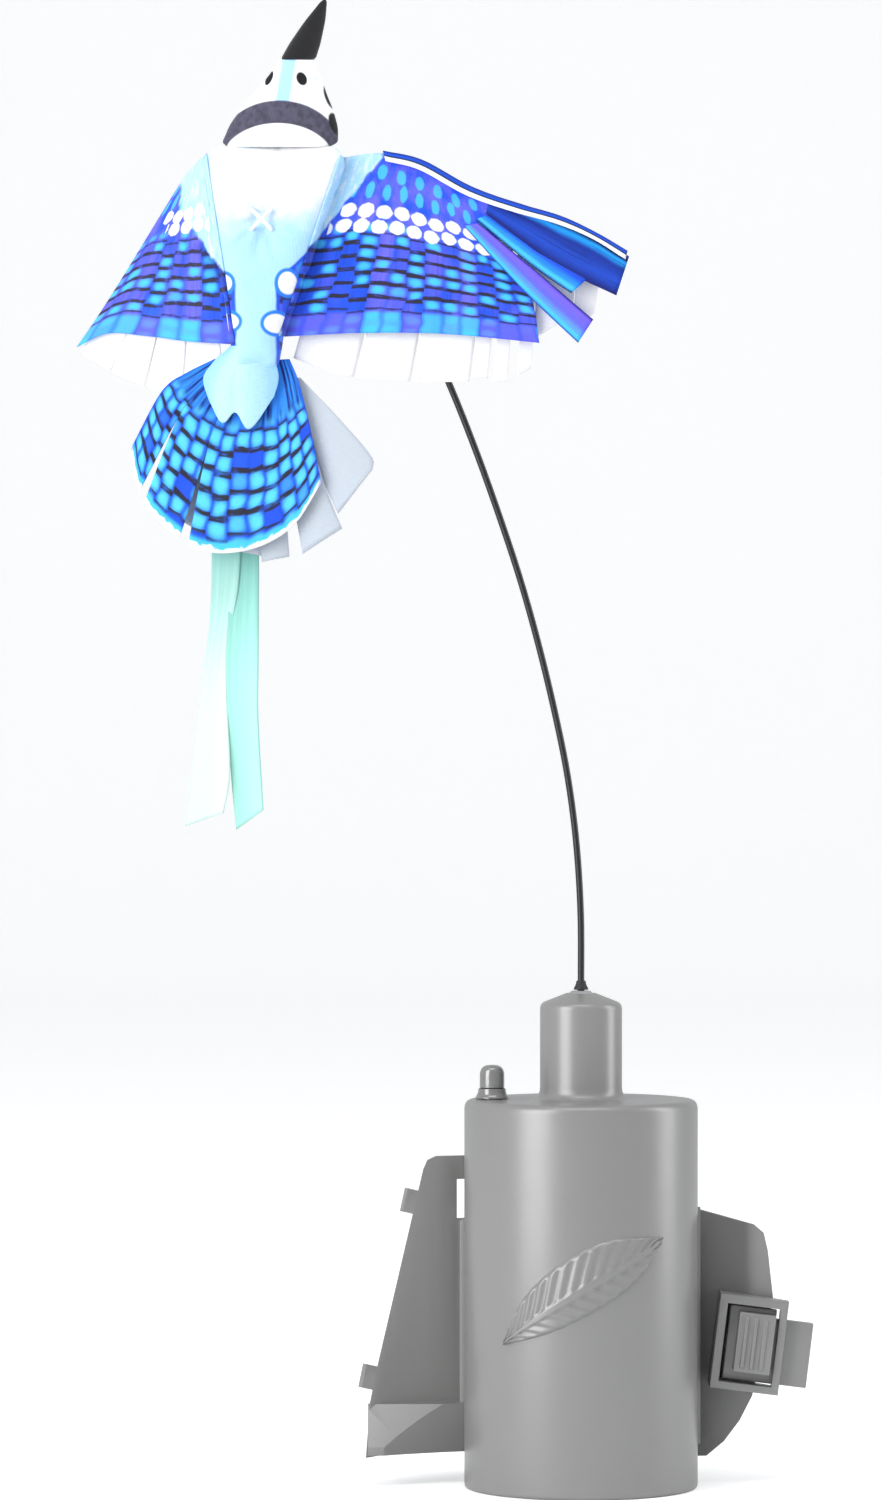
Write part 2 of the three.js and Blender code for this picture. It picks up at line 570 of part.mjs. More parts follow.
const leftPrint = [
  ...leftRoot, [-12.8, -37.9], [-27.3, -38.5], [-41.1, -36], [-54.5, -32.5], [-48.8, -22.5],
  [-41.3, -12], [-29.3, 6],
];
const liningInset = 1.2; // the lining starts a little further out, clear of the body's round side
const leftLining = [
  ...leftRoot.map(([x, z]) => [x - liningInset, z]), [-13.9, -39.9], [-28.9, -45.9],
  [-43.1, -41.9], [-56.1, -34.3], [-47.9, -23.5], [-40.3, -12.5], [-28.3, 5.5],
];
const rightPrint = [
  rightRoot[1], rightRoot[0], [39.7, 19.9], [56.4, 12.1], [77.4, 3.5], [96.9, -1.5], [109.5, -10.1],
  [106.1, -21.5], [98.5, -35.5], [89.7, -34.9], [65.7, -33.9], [35.7, -35.1], [9.7, -37.9],
];
const rightLining = [
  ...rightRoot.map(([x, z]) => [x + liningInset, z]).reverse(),
  [38.7, 19.1], [55.9, 11.1], [76.9, 2.5], [95.7, -2.5], [102.7, -11.5], [100.3, -22.5],
  [92.7, -37.5], [83.4, -45.5], [55.7, -47.5], [31.7, -45.5], [9.7, -39.9],
];

// The left wing trails backwards from its root line.
function swept(geometry) {
  const [[x0, z0], [x1, z1]] = leftRoot;
  const slope = (x1 - x0) / (z1 - z0);
  const trail = new THREE.Matrix4();
  trail.elements[1] = -LEFT_SWEEP;
  trail.elements[9] = LEFT_SWEEP * slope;
  trail.elements[13] = LEFT_SWEEP * (x0 - z0 * slope);
  return geometry.applyMatrix4(trail);
}

put('wing_left_print', swept(cloth(leftPrint, WING_Y)), bluePrint, bird);
put('wing_left_lining', swept(cloth(leftLining, LINING_Y)), whiteCloth, bird);
put('wing_right_print', cloth(rightPrint, WING_Y), bluePrint, bird);
put('wing_right_lining', cloth(rightLining, LINING_Y), whiteCloth, bird);

const sparY = (WING_Y + LINING_Y) / 2;
put('wing_left_spar', swept(tube([
  [-20.8, sparY, 14.5], [-30.3, sparY, 1.5], [-42.3, sparY, -16.5], [-50.3, sparY, -28],
], SPAR_R, 10, 6)), darkPlastic, bird);
put('wing_right_spar', tube([
  [28.7, sparY, 16.9], [40.1, sparY, 16.3], [56.1, sparY, 9.5], [76.7, sparY, 0.9],
  [92.7, sparY, -4.3],
], SPAR_R, 12, 6), darkPlastic, bird);

const tailPrint = [
  [-8.3, -46.9], [-16.3, -47.5], [-29.1, -49.9], [-39.3, -67.5], [-34.3, -82.5], [-21.7, -95.1],
  [-6.6, -97.1], [8.3, -90.9], [18.7, -76.5], [11.5, -47.5], [5.7, -46.9],
];
const tailLining = [
  [-6.3, -47.5], [-16.3, -60.5], [-14.3, -82.5], [-2.3, -97.1], [6.7, -99.9], [19.2, -97.3],
  [26.3, -86.1], [32.9, -73.5], [14.3, -49.5], [5.7, -47.5],
];
put('tail_print', cloth(tailPrint, WING_Y), bluePrint, bird);
put('tail_lining', cloth(tailLining, LINING_Y), whiteCloth, bird);

const ribbonT = 0.8;
const ribbonLeft = [[-14.7, -91.1], [-8.1, -91.1], [-10.1, -138.5], [-11.1, -175.5], [-22.5, -180.1],
  [-18.9, -147], [-15.7, -116.5]];
const ribbonRight = [[-7.5, -91.1], [-0.7, -91.1], [-0.7, -147], [0.6, -175.1], [-7.7, -181.1],
  [-9.5, -138.5]];
const ribbonY = LINING_Y + 2.4;
put('ribbon_left', slab(ribbonLeft, ribbonY, ribbonY + ribbonT), mintSatin, bird);
put('ribbon_right', slab(ribbonRight, ribbonY, ribbonY + ribbonT), mintSatin, bird);

export default parts;
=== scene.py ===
"""Motion wing decoy: the moulded tower with its saddle and latch, the bent whip and the sewn
fabric bird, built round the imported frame. Metres, +Z up, and the front faces -Y."""

import bisect
import math

import bmesh
import bpy
from bpy.props import FloatProperty, FloatVectorProperty, IntProperty, PointerProperty
from mathutils import Matrix, Vector, noise
from mathutils.bvhtree import BVHTree


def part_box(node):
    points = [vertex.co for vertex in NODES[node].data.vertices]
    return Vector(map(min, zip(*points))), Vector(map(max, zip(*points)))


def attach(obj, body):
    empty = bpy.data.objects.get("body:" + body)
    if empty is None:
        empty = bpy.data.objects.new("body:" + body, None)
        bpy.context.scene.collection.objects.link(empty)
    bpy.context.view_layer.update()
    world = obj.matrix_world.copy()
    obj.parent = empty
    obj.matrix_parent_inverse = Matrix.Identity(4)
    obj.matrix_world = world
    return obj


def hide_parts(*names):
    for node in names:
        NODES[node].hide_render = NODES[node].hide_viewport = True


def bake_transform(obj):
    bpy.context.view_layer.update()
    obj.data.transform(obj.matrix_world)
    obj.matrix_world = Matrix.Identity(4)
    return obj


bl_info = {
    "name": "Motion Wing Decoy",
    "version": (1, 0, 0),
    "blender": (4, 5, 0),
    "location": "3D View > Sidebar > Wing Decoy",
    "description": "Builds a motion wing decoy round its packed frame",
    "category": "Add Mesh",
}

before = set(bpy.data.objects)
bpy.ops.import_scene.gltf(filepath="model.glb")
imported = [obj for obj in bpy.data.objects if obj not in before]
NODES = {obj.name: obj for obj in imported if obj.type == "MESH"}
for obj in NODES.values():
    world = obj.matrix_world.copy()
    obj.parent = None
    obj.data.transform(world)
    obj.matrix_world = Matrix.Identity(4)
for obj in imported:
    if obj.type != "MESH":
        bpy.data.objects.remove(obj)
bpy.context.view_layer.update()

MM = 0.001
STITCH = Vector((-95.7, 0.0, 378.5)) * MM  # where the bird is sewn to the whip's loop
PRINT_Y = -12.0  # millimetres: the printed layer of the wings and tail
LINING_Y = -9.4
BODY_FRONT = -20.0
BODY_BACK = -8.0
BODY_MID = (BODY_FRONT + BODY_BACK) / 2
LEFT_SWEEP = 1.45  # how far the left wing trails back for each step out from its root
LEFT_ROOT = ((-17.7, 19.0), (-9.9, -33.5))
FULL_TURN = 2 * math.pi


# ---- what a user may change ---------------------------------------------------------------
def colour(name, description, default):
    return FloatVectorProperty(
        name=name, description=description, default=default, subtype="COLOR", size=3, min=0, max=1
    )


def length(name, description, default, low, high):
    return FloatProperty(
        name=name, description=description, default=default, min=low, max=high,
        subtype="DISTANCE", unit="LENGTH", precision=5,
    )


class DecoyStage(bpy.types.PropertyGroup):
    """Floor, lights and camera."""

    camera_x: length("Camera X", "Sideways place of the camera", -0.042, -1, 1)
    camera_distance: length("Camera distance", "From the tower's axis to the camera", 1.8, 0.5, 5)
    camera_height: length("Camera height", "Height of the camera above the floor", 0.221, 0, 2)
    floor: colour("Floor", "Colour of the floor and the backdrop", (0.93, 0.935, 0.94))
    key_power: FloatProperty(name="Key power", description="Power of the tall soft light on the left",
                             default=20.0, min=0, unit="POWER")
    rim_power: FloatProperty(name="Rim power", description="Power of the soft light on the right",
                             default=9.0, min=0, unit="POWER")
    lift: FloatProperty(name="Floor lift", description="Light that the floor shows of its own",
                        default=0.32, min=0, max=1)
    sky: FloatProperty(name="Sky", description="Strength of the even light all round",
                       default=0.66, min=0, max=5)


class DecoyPlastic(bpy.types.PropertyGroup):
    """Moulded housing."""

    grey: colour("Housing", "Colour of the satin moulded plastic", (0.2, 0.199, 0.196))
    grain: length("Grain", "Size of the moulded grain", 0.0006, 0.0001, 0.01)
    soften: length("Edge radius", "Radius of the moulded edges", 0.0007, 0.0001, 0.002)
    segments: IntProperty(name="Round segments", description="Steps round the tower",
                          default=128, min=24, max=256)


class DecoyCloth(bpy.types.PropertyGroup):
    """Fabric of the bird."""

    cloth: length("Cloth", "Thickness of the cloth", 0.00035, 0.0001, 0.001)
    thread: length("Thread", "Distance between the threads", 0.0004, 0.0001, 0.002)
    white: colour("White", "Unprinted cloth", (0.9, 0.9, 0.91))
    pale: colour("Pale blue", "Breast, waist and tail covert", (0.38, 0.66, 0.93))
    cyan: colour("Cyan", "Bright spots of the print", (0.06, 0.52, 0.98))
    violet: colour("Violet", "Violet feathers of the print", (0.13, 0.13, 0.92))
    blue: colour("Blue", "Middle blue of the print", (0.012, 0.08, 0.72))
    navy: colour("Navy", "Dark feathers of the print", (0.004, 0.012, 0.16))
    bar: colour("Bar", "Dark bars across the feathers", (0.02, 0.015, 0.004))
    slate: colour("Slate", "Collar under the head", (0.085, 0.08, 0.125))
    mint: colour("Mint", "Satin streamer", (0.22, 0.62, 0.53))
    fill: FloatProperty(name="Fill", description="How tightly the body is filled",
                        default=0.55, min=0, max=1, subtype="FACTOR")


# ---- shader graphs ------------------------------------------------------------------------
class Graph:
    """Places and joins the nodes of one tree."""

    def __init__(self, tree):
        self.tree = tree

    def node(self, kind, **settings):
        made = self.tree.nodes.new(kind)
        for name, value in settings.items():
            setattr(made, name, value)
        return made

    def feed(self, socket, value):
        if isinstance(value, bpy.types.NodeSocket):
            self.tree.links.new(value, socket)
        elif socket.type == "RGBA" and len(value) == 3:
            socket.default_value = (*value, 1)
        else:
            socket.default_value = value

    def math(self, operation, *values):
        made = self.node("ShaderNodeMath", operation=operation)
        for socket, value in zip(made.inputs, values):
            self.feed(socket, value)
        return made.outputs[0]

    def times(self, first, second):
        return self.math("MULTIPLY", first, second)

    def plus(self, first, second):
        return self.math("ADD", first, second)

    def minus(self, first, second):
        return self.math("SUBTRACT", first, second)

    def vector(self, operation, *values):
        made = self.node("ShaderNodeVectorMath", operation=operation)
        for socket, value in zip(made.inputs, values):
            self.feed(socket, value)
        return made.outputs["Value" if operation in ("LENGTH", "DISTANCE", "DOT_PRODUCT") else 0]

    def scaled(self, vector, factors):
        return self.vector("MULTIPLY", vector, factors)

    def mix(self, share, first, second):
        made = self.node("ShaderNodeMix", data_type="RGBA")
        for index, value in ((0, share), (6, first), (7, second)):
            self.feed(made.inputs[index], value)
        return made.outputs[2]

    def step(self, value, low, high, start=0.0, end=1.0):
        """A smooth step from start to end as value goes from low to high."""
        made = self.node("ShaderNodeMapRange", interpolation_type="SMOOTHSTEP")
        for socket, number in zip(made.inputs, (value, low, high, start, end)):
            self.feed(socket, number)
        return made.outputs[0]

    def line(self, value, low, high, start, end):
        """A straight, clamped run from start to end."""
        made = self.node("ShaderNodeMapRange", interpolation_type="LINEAR")
        for socket, number in zip(made.inputs, (value, low, high, start, end)):
            self.feed(socket, number)
        return made.outputs[0]

    def split(self, vector):
        made = self.node("ShaderNodeSeparateXYZ")
        self.feed(made.inputs[0], vector)
        return made.outputs

    def join(self, x, y, z=0.0):
        made = self.node("ShaderNodeCombineXYZ")
        for socket, value in zip(made.inputs, (x, y, z)):
            self.feed(socket, value)
        return made.outputs[0]

    def noise(self, vector, scale, detail=2.0, rough=0.5):
        made = self.node("ShaderNodeTexNoise")
        given = {"Vector": vector, "Scale": scale, "Detail": detail, "Roughness": rough}
        for name, value in given.items():
            self.feed(made.inputs[name], value)
        return made.outputs[0]

    def chance(self, vector):
        """A random number that is the same all over one cell."""
        made = self.node("ShaderNodeTexWhiteNoise", noise_dimensions="3D")
        self.feed(made.inputs[0], vector)
        return made.outputs[0]

    def group(self, name, **values):
        made = self.node("ShaderNodeGroup", node_tree=bpy.data.node_groups[name])
        for label, value in values.items():
            self.feed(made.inputs[label.replace("_", " ")], value)
        return made.outputs


def new_group(name, inputs, outputs):
    """A shader node group with named sockets, and the graph and sockets to build it with."""
    tree = bpy.data.node_groups.new(name, "ShaderNodeTree")
    for label, (kind, default) in inputs.items():
        socket = tree.interface.new_socket(label, in_out="INPUT", socket_type=f"NodeSocket{kind}")
        if default is not None:
            socket.default_value = default
    for label, kind in outputs.items():
        tree.interface.new_socket(label, in_out="OUTPUT", socket_type=f"NodeSocket{kind}")
    graph = Graph(tree)
    given = graph.node("NodeGroupInput").outputs
    made = graph.node("NodeGroupOutput").inputs
    return graph, given, made


def rgba(value):
    return (*value, 1.0)


def build_groups():
    """The shared effects: grain, brushing, dust, weave, feather bars and dot rows."""
    graph, given, made = new_group(
        "Moulded Grain",
        {"Place": ("Vector", None), "Size": ("Float", 0.0006), "Depth": ("Float", 0.5)},
        {"Height": "Float", "Shade": "Float", "Rough": "Float"},
    )
    scale = graph.math("DIVIDE", 1.0, given["Size"])
    fine = graph.noise(given["Place"], scale, 3.0, 0.6)
    flow = graph.noise(given["Place"], 22.0, 3.0, 0.5)
    scuff = graph.noise(given["Place"], 60.0, 3.0, 0.6)
    graph.feed(made["Height"], graph.times(fine, given["Depth"]))
    graph.feed(made["Shade"], graph.line(flow, 0.3, 0.7, 0.0, 1.0))
    graph.feed(made["Rough"], graph.step(scuff, 0.45, 0.75))

    graph, given, made = new_group(
        "Brushed Lines",
        {"Place": ("Vector", None), "Stretch": ("Vector", (1, 1, 20)), "Size": ("Float", 0.0005)},
        {"Height": "Float", "Shade": "Float"},
    )
    stretched = graph.scaled(given["Place"], given["Stretch"])
    lines = graph.noise(stretched, graph.math("DIVIDE", 1.0, given["Size"]), 4.0, 0.65)
    stain = graph.noise(given["Place"], 90.0, 3.0, 0.6)
    graph.feed(made["Height"], lines)
    graph.feed(made["Shade"], graph.times(lines, stain))

    graph, given, made = new_group(
        "Dust",
        {"Place": ("Vector", None), "Up": ("Vector", None), "Amount": ("Float", 0.3)},
        {"Mask": "Float"},
    )
    up = graph.step(graph.split(given["Up"])[2], 0.35, 1.0)
    drift = graph.step(graph.noise(given["Place"], 130.0, 4.0, 0.7), 0.4, 0.7)
    graph.feed(made["Mask"], graph.times(graph.times(up, drift), given["Amount"]))

    graph, given, made = new_group(
        "Cloth Weave",
        {"Place": ("Vector", None), "Thread": ("Float", 0.0004)},
        {"Height": "Float", "Shade": "Float"},
    )
    turns = graph.math("DIVIDE", math.pi, given["Thread"])
    x, y, _z = graph.split(graph.vector("SCALE", given["Place"]))
    warp = graph.math("SINE", graph.times(x, turns))
    weft = graph.math("SINE", graph.times(y, turns))
    over = graph.times(warp, weft)
    slub = graph.noise(graph.scaled(given["Place"], (1.0, 12.0, 1.0)), 420.0, 2.0, 0.5)
    graph.feed(made["Height"], graph.plus(graph.times(over, 0.5), slub))
    graph.feed(made["Shade"], graph.step(slub, 0.3, 0.75))

    graph, given, made = new_group(
        "Feather Cells",
        {
            "Place": ("Vector", None), "Columns": ("Float", 12.0), "Rows": ("Float", 6.0),
            "From": ("Float", 0.42), "To": ("Float", 0.88), "Bar": ("Float", 0.3),
            "Bright": ("Float", 0.55), "Blob": ("Float", 0.45), "Wobble": ("Float", 0.03),
        },
        {"Bars": "Float", "Spots": "Float", "Seams": "Float", "Pick": "Float"},
    )
    u, v, _w = graph.split(given["Place"])
    wave = graph.minus(graph.noise(given["Place"], 7.0, 2.0), 0.5)
    drift = graph.times(wave, 0.05)
    across = graph.times(graph.plus(u, drift), given["Columns"])
    column = graph.math("FLOOR", across)
    in_column = graph.minus(graph.math("FRACT", across), 0.5)
    jump = graph.minus(graph.chance(graph.join(column, 3.0)), 0.5)
    rise = graph.times(graph.plus(jump, wave), given["Wobble"])
    shifted = graph.plus(v, rise)
    span = graph.minus(given["To"], given["From"])
    down = graph.math("DIVIDE", graph.minus(shifted, given["From"]), span)
    rows = graph.times(down, given["Rows"])
    row = graph.math("FLOOR", rows)
    in_row = graph.minus(graph.math("FRACT", rows), 0.5)
    edge = graph.math("ABSOLUTE", in_row)
    inner = graph.minus(0.5, graph.times(given["Bar"], 0.62))
    outer = graph.minus(0.5, graph.times(given["Bar"], 0.3))
    barred = graph.times(graph.step(down, -0.02, 0.02), graph.step(down, 0.98, 1.02, 1.0, 0.0))
    worn = graph.step(graph.noise(graph.scaled(given["Place"], (14.0, 40.0, 1.0)), 1.0), 0.3, 0.5,
                      0.45, 1.0)
    barred = graph.times(barred, worn)
    edge = graph.plus(edge, graph.times(wave, 0.12))
    graph.feed(made["Bars"], graph.times(graph.step(edge, inner, outer), barred))
    pick = graph.chance(graph.join(column, row, 1.0))
    reach = graph.vector("LENGTH", graph.join(graph.times(in_column, 0.85), in_row))
    blob = graph.step(reach, given["Blob"], graph.times(given["Blob"], 0.2))
    lit = graph.step(pick, graph.minus(1.0, given["Bright"]), graph.minus(1.1, given["Bright"]))
    graph.feed(made["Spots"], graph.times(blob, lit))
    graph.feed(made["Seams"], graph.step(graph.math("ABSOLUTE", in_column), 0.28, 0.5))
    graph.feed(made["Pick"], graph.chance(graph.join(column, 9.0, 4.0)))

    graph, given, made = new_group(
        "Dot Row",
        {
            "Place": ("Vector", None), "Count": ("Float", 8.0), "Line": ("Float", 0.3),
            "Height": ("Float", 0.04), "Width": ("Float", 0.46), "From": ("Float", 0.0),
            "To": ("Float", 1.0), "Sag": ("Float", 0.03),
        },
        {"Mask": "Float"},
    )
    u, v, _w = graph.split(given["Place"])
    across = graph.times(u, given["Count"])
    cell = graph.math("FLOOR", across)
    shift = graph.minus(graph.chance(graph.join(cell, 6.0)), 0.5)
    centre = graph.plus(given["Line"], graph.times(shift, given["Sag"]))
    x = graph.math("DIVIDE", graph.minus(graph.math("FRACT", across), 0.5), given["Width"])
    y = graph.math("DIVIDE", graph.minus(v, centre), given["Height"])
    wave = graph.times(graph.minus(graph.noise(given["Place"], 30.0), 0.5), 0.5)
    reach = graph.plus(graph.vector("LENGTH", graph.join(x, y)), wave)
    inside = graph.math(
        "MULTIPLY", graph.math("GREATER_THAN", u, given["From"]), graph.math("LESS_THAN", u, given["To"])
    )
    graph.feed(made["Mask"], graph.times(graph.step(reach, 1.05, 0.8), inside))


def new_material(name, roughness=0.5, metallic=0.0, coat=0.0, sheen=0.0, specular=0.5):
    """A material with its Principled shader, and the graph to build its surface with."""
    material = bpy.data.materials.new(name)
    material.use_nodes = True
    graph = Graph(material.node_tree)
    shader = material.node_tree.nodes["Principled BSDF"]
    shader.inputs["Roughness"].default_value = roughness
    shader.inputs["Metallic"].default_value = metallic
    shader.inputs["Coat Weight"].default_value = coat
    shader.inputs["Sheen Weight"].default_value = sheen
    shader.inputs["Specular IOR Level"].default_value = specular
    return material, graph, shader


def bump(graph, shader, height, distance, strength=1.0):
    made = graph.node("ShaderNodeBump")
    made.inputs["Distance"].default_value = distance
    made.inputs["Strength"].default_value = strength
    graph.feed(made.inputs["Height"], height)
    graph.feed(shader.inputs["Normal"], made.outputs[0])


def object_place(graph):
    return graph.node("ShaderNodeTexCoord").outputs["Object"]


def uv_place(graph, layer):
    return graph.node("ShaderNodeUVMap", uv_map=layer).outputs[0]


def moulded(name, tint, roughness=0.42, grain=0.0006, depth=0.05, dust=0.1, coat=0.0, specular=0.5):
    """Moulded plastic or rubber: fine grain, flow shading, scuffs and a little dust on top."""
    material, graph, shader = new_material(name, roughness, coat=coat, specular=specular)
    shader.inputs["Coat Roughness"].default_value = 0.12
    place = object_place(graph)
    grain_of = graph.group("Moulded Grain", Place=place, Size=grain, Depth=1.0)
    up = graph.node("ShaderNodeNewGeometry").outputs["Normal"]
    mask = graph.group("Dust", Place=place, Up=up, Amount=dust)["Mask"]
    dark = [c * 0.98 for c in tint]
    light = [min(1.0, c * 1.02) for c in tint]
    body = graph.mix(grain_of["Shade"], dark, light)
    dusty = [min(1.0, c * 0.6 + 0.15) for c in tint]
    graph.feed(shader.inputs["Base Color"], graph.mix(mask, body, dusty))
    scuffed = graph.line(grain_of["Rough"], 0.0, 1.0, roughness, roughness + 0.04)
    graph.feed(shader.inputs["Roughness"], graph.plus(scuffed, graph.times(mask, 0.3)))
    bump(graph, shader, grain_of["Height"], grain * depth)
    return material


def brushed(name, tint, roughness, stretch=(1, 1, 20), size=0.0005, dark=0.7):
    """Metal with drawn or turned lines and slight staining."""
    material, graph, shader = new_material(name, roughness, metallic=1.0)
    lines = graph.group("Brushed Lines", Place=object_place(graph), Stretch=stretch, Size=size)
    stained = [c * dark for c in tint]
    graph.feed(shader.inputs["Base Color"], graph.mix(lines["Shade"], tint, stained))
    graph.feed(
        shader.inputs["Roughness"],
        graph.line(lines["Height"], 0.2, 0.8, max(0.08, roughness - 0.12), roughness + 0.15),
    )
    bump(graph, shader, lines["Height"], size * 0.05)
    return material


def weave_on(graph, shader, place, thread, depth=0.12):
    """The thread relief of a cloth, and its shade for the colour."""
    weave = graph.group("Cloth Weave", Place=place, Thread=thread)
    bump(graph, shader, weave["Height"], thread * depth)
    return weave["Shade"]


def dye(graph, shader, place, thread, tint, dark):
    """Colours a cloth, a little darker between its threads."""
    shade = weave_on(graph, shader, place, thread)
    graph.feed(shader.inputs["Base Color"], graph.mix(graph.times(shade, dark), tint, (0, 0, 0)))


def flat_print_place(graph):
    """The weave follows the cut cloth, which lies in the layer named Cut."""
    return uv_place(graph, "Cut")


def shaded(graph, share, tint, low=0.9):
    """tint, a little darker where share is low."""
    return graph.mix(share, [c * low for c in tint], tint)


def plain_cloth(name, tint, thread, sheen=0.15, layer="Cut", roughness=0.82):
    material, graph, shader = new_material(name, roughness, sheen=sheen, specular=0.25)
    place = uv_place(graph, layer) if layer else object_place(graph)
    shade = weave_on(graph, shader, place, thread)
    soil = graph.noise(place, 60.0, 3.0, 0.55)
    base = shaded(graph, shade, tint, 0.93)
    faint = [tint[0] * 0.9, tint[1] * 0.92, tint[2] * 0.97]
    graph.feed(shader.inputs["Base Color"], graph.mix(graph.step(soil, 0.45, 0.7, 0.0, 0.6), base, faint))
    return material


def barred_print(graph, place, cloth, cells, fringe_from):
    """Barred feather cells over violet and blue, with an unbarred fringe below."""
    v = graph.split(place)[1]
    streak = graph.noise(graph.scaled(place, (60.0, 3.0, 1.0)), 1.0, 3.0, 0.6)
    drift = graph.noise(graph.scaled(place, (7.0, 3.0, 1.0)), 1.0, 2.0, 0.5)
    share = graph.plus(graph.times(cells["Pick"], 0.5), drift)
    ground = graph.mix(graph.step(share, 0.5, 0.95), cloth.blue, cloth.violet)
    ground = graph.mix(graph.step(streak, 0.4, 0.8, 0.0, 0.4), ground, cloth.navy)
    lit = graph.mix(cells["Spots"], ground, cloth.cyan)
    seam = graph.times(cells["Seams"], 0.5)
    lit = graph.mix(seam, lit, cloth.blue)
    fringe = graph.step(v, fringe_from, fringe_from + 0.03)
    fringe_tint = graph.mix(graph.step(cells["Pick"], 0.35, 0.6), cloth.violet, cloth.cyan)
    fringe_tint = graph.mix(seam, fringe_tint, cloth.blue)
    lit = graph.mix(graph.times(fringe, 0.75), lit, fringe_tint)
    return graph.mix(graph.times(cells["Bars"], 0.95), lit, cloth.bar)


def wing_print(name, cloth, columns, side, shoulder, dots, seed):
    """The printed layer of a wing: coverts, two rows of white dots, bars and a fringe."""
    material, graph, shader = new_material(name, 0.78, sheen=0.1, specular=0.25)
    place = uv_place(graph, "Print")
    v = graph.split(place)[1]
    moved = graph.vector("ADD", place, (seed, 0.0, 0.0))
    cells = graph.group(
        "Feather Cells", Place=moved, Columns=columns, Rows=6.0, From=0.44, To=0.88, Bar=0.34,
        Bright=0.62, Blob=0.5, Wobble=0.035,
    )
    barred = barred_print(graph, place, cloth, cells, 0.87)
    mottle = graph.noise(graph.scaled(place, (9.0, 5.0, 1.0)), 1.0, 3.0, 0.6)
    covert = graph.mix(graph.step(mottle, 0.35, 0.65), cloth.blue, cloth.violet)
    for count, line, height in ((columns * 0.7, 0.1, 0.045), (columns * 0.85, 0.2, 0.05)):
        spots = graph.group("Dot Row", Place=place, Count=count, Line=line, Height=height, Width=0.26,
                            Sag=0.03)
        covert = graph.mix(graph.times(spots["Mask"], 0.8), covert, cloth.cyan)
    tint = graph.mix(graph.step(v, 0.36, 0.43), covert, barred)
    x, z, _w = graph.split(graph.scaled(flat_print_place(graph), (side / MM, 1 / MM, 1.0)))
    blur = graph.times(graph.minus(graph.noise(place, 12.0, 3.0), 0.5), 3.0)
    border = graph.line(z, *shoulder)
    near = graph.plus(graph.minus(x, border), blur)
    dim = graph.times(graph.step(near, 6.0, 0.5, 0.0, 0.6), graph.step(v, 0.44, 0.5))
    tint = graph.mix(dim, tint, cloth.navy)
    faded = graph.noise(graph.scaled(place, (30.0, 9.0, 1.0)), 1.0, 3.0)
    pale = graph.mix(graph.step(faded, 0.45, 0.75, 0.0, 0.7), cloth.pale, cloth.white)
    tint = graph.mix(graph.step(near, 0.8, -0.4), tint, pale)
    for count, line, low, high in dots:
        row = graph.group("Dot Row", Place=place, Count=count, Line=line, Height=0.042, Width=0.47,
                          From=low, To=high, Sag=0.02)
        tint = graph.mix(row["Mask"], tint, cloth.white)
    dye(graph, shader, flat_print_place(graph), cloth.thread, tint, 0.12)
    return material


def striped_print(name, cloth, stops, streak_tint, streaks=0.35):
    """A long feather whose colour changes across its width, with dark streaks along it."""
    material, graph, shader = new_material(name, 0.78, sheen=0.1, specular=0.25)
    place = uv_place(graph, "Print")
    wave = graph.times(graph.minus(graph.noise(place, 3.0), 0.5), 0.12)
    u = graph.plus(graph.split(place)[0], wave)
    ramp = graph.node("ShaderNodeValToRGB")
    ramp.color_ramp.interpolation = "EASE"
    while len(ramp.color_ramp.elements) < len(stops):
        ramp.color_ramp.elements.new(0.5)
    for element, (position, tint) in zip(ramp.color_ramp.elements, stops):
        element.position = position
        element.color = rgba(tint)
    graph.feed(ramp.inputs[0], u)
    barbs = graph.noise(graph.scaled(place, (14.0, 1.2, 1.0)), 1.0, 3.0, 0.6)
    dark = graph.step(barbs, 0.52, 0.7, 0.0, streaks)
    tint = graph.mix(dark, ramp.outputs[0], streak_tint)
    dye(graph, shader, flat_print_place(graph), cloth.thread, tint, 0.12)
    return material


def tail_print(name, cloth):
    material, graph, shader = new_material(name, 0.78, sheen=0.1, specular=0.25)
    place = uv_place(graph, "Print")
    u, v, _w = graph.split(place)
    cells = graph.group(
        "Feather Cells", Place=place, Columns=13.0, Rows=5.0, From=0.4, To=0.93, Bar=0.3,
        Bright=0.93, Blob=0.62, Wobble=0.05,
    )
    lit = graph.mix(cells["Spots"], cloth.blue, [0.1, 0.6, 1.0])
    lit = graph.mix(graph.times(cells["Seams"], 0.7), lit, [0.008, 0.07, 0.6])
    streak = graph.noise(graph.scaled(place, (26.0, 1.6, 1.0)), 1.0, 3.0, 0.6)
    upper = graph.mix(graph.step(streak, 0.42, 0.62), [0.03, 0.25, 0.9], cloth.navy)
    lit = graph.mix(graph.step(v, 0.42, 0.32), lit, upper)
    lit = graph.mix(graph.step(v, 0.93, 0.96), lit, cloth.cyan)
    tint = graph.mix(graph.times(cells["Bars"], 0.95), lit, cloth.bar)
    ragged = graph.times(graph.minus(graph.noise(place, 24.0), 0.5), 0.06)
    hem = graph.step(graph.plus(v, ragged), 0.965, 0.98)
    tint = graph.mix(hem, tint, cloth.white)
    side = graph.step(graph.math("ABSOLUTE", graph.minus(u, 0.5)), 0.46, 0.5)
    tint = graph.mix(graph.times(side, 0.5), tint, cloth.blue)
    dye(graph, shader, flat_print_place(graph), cloth.thread, tint, 0.12)
    return material


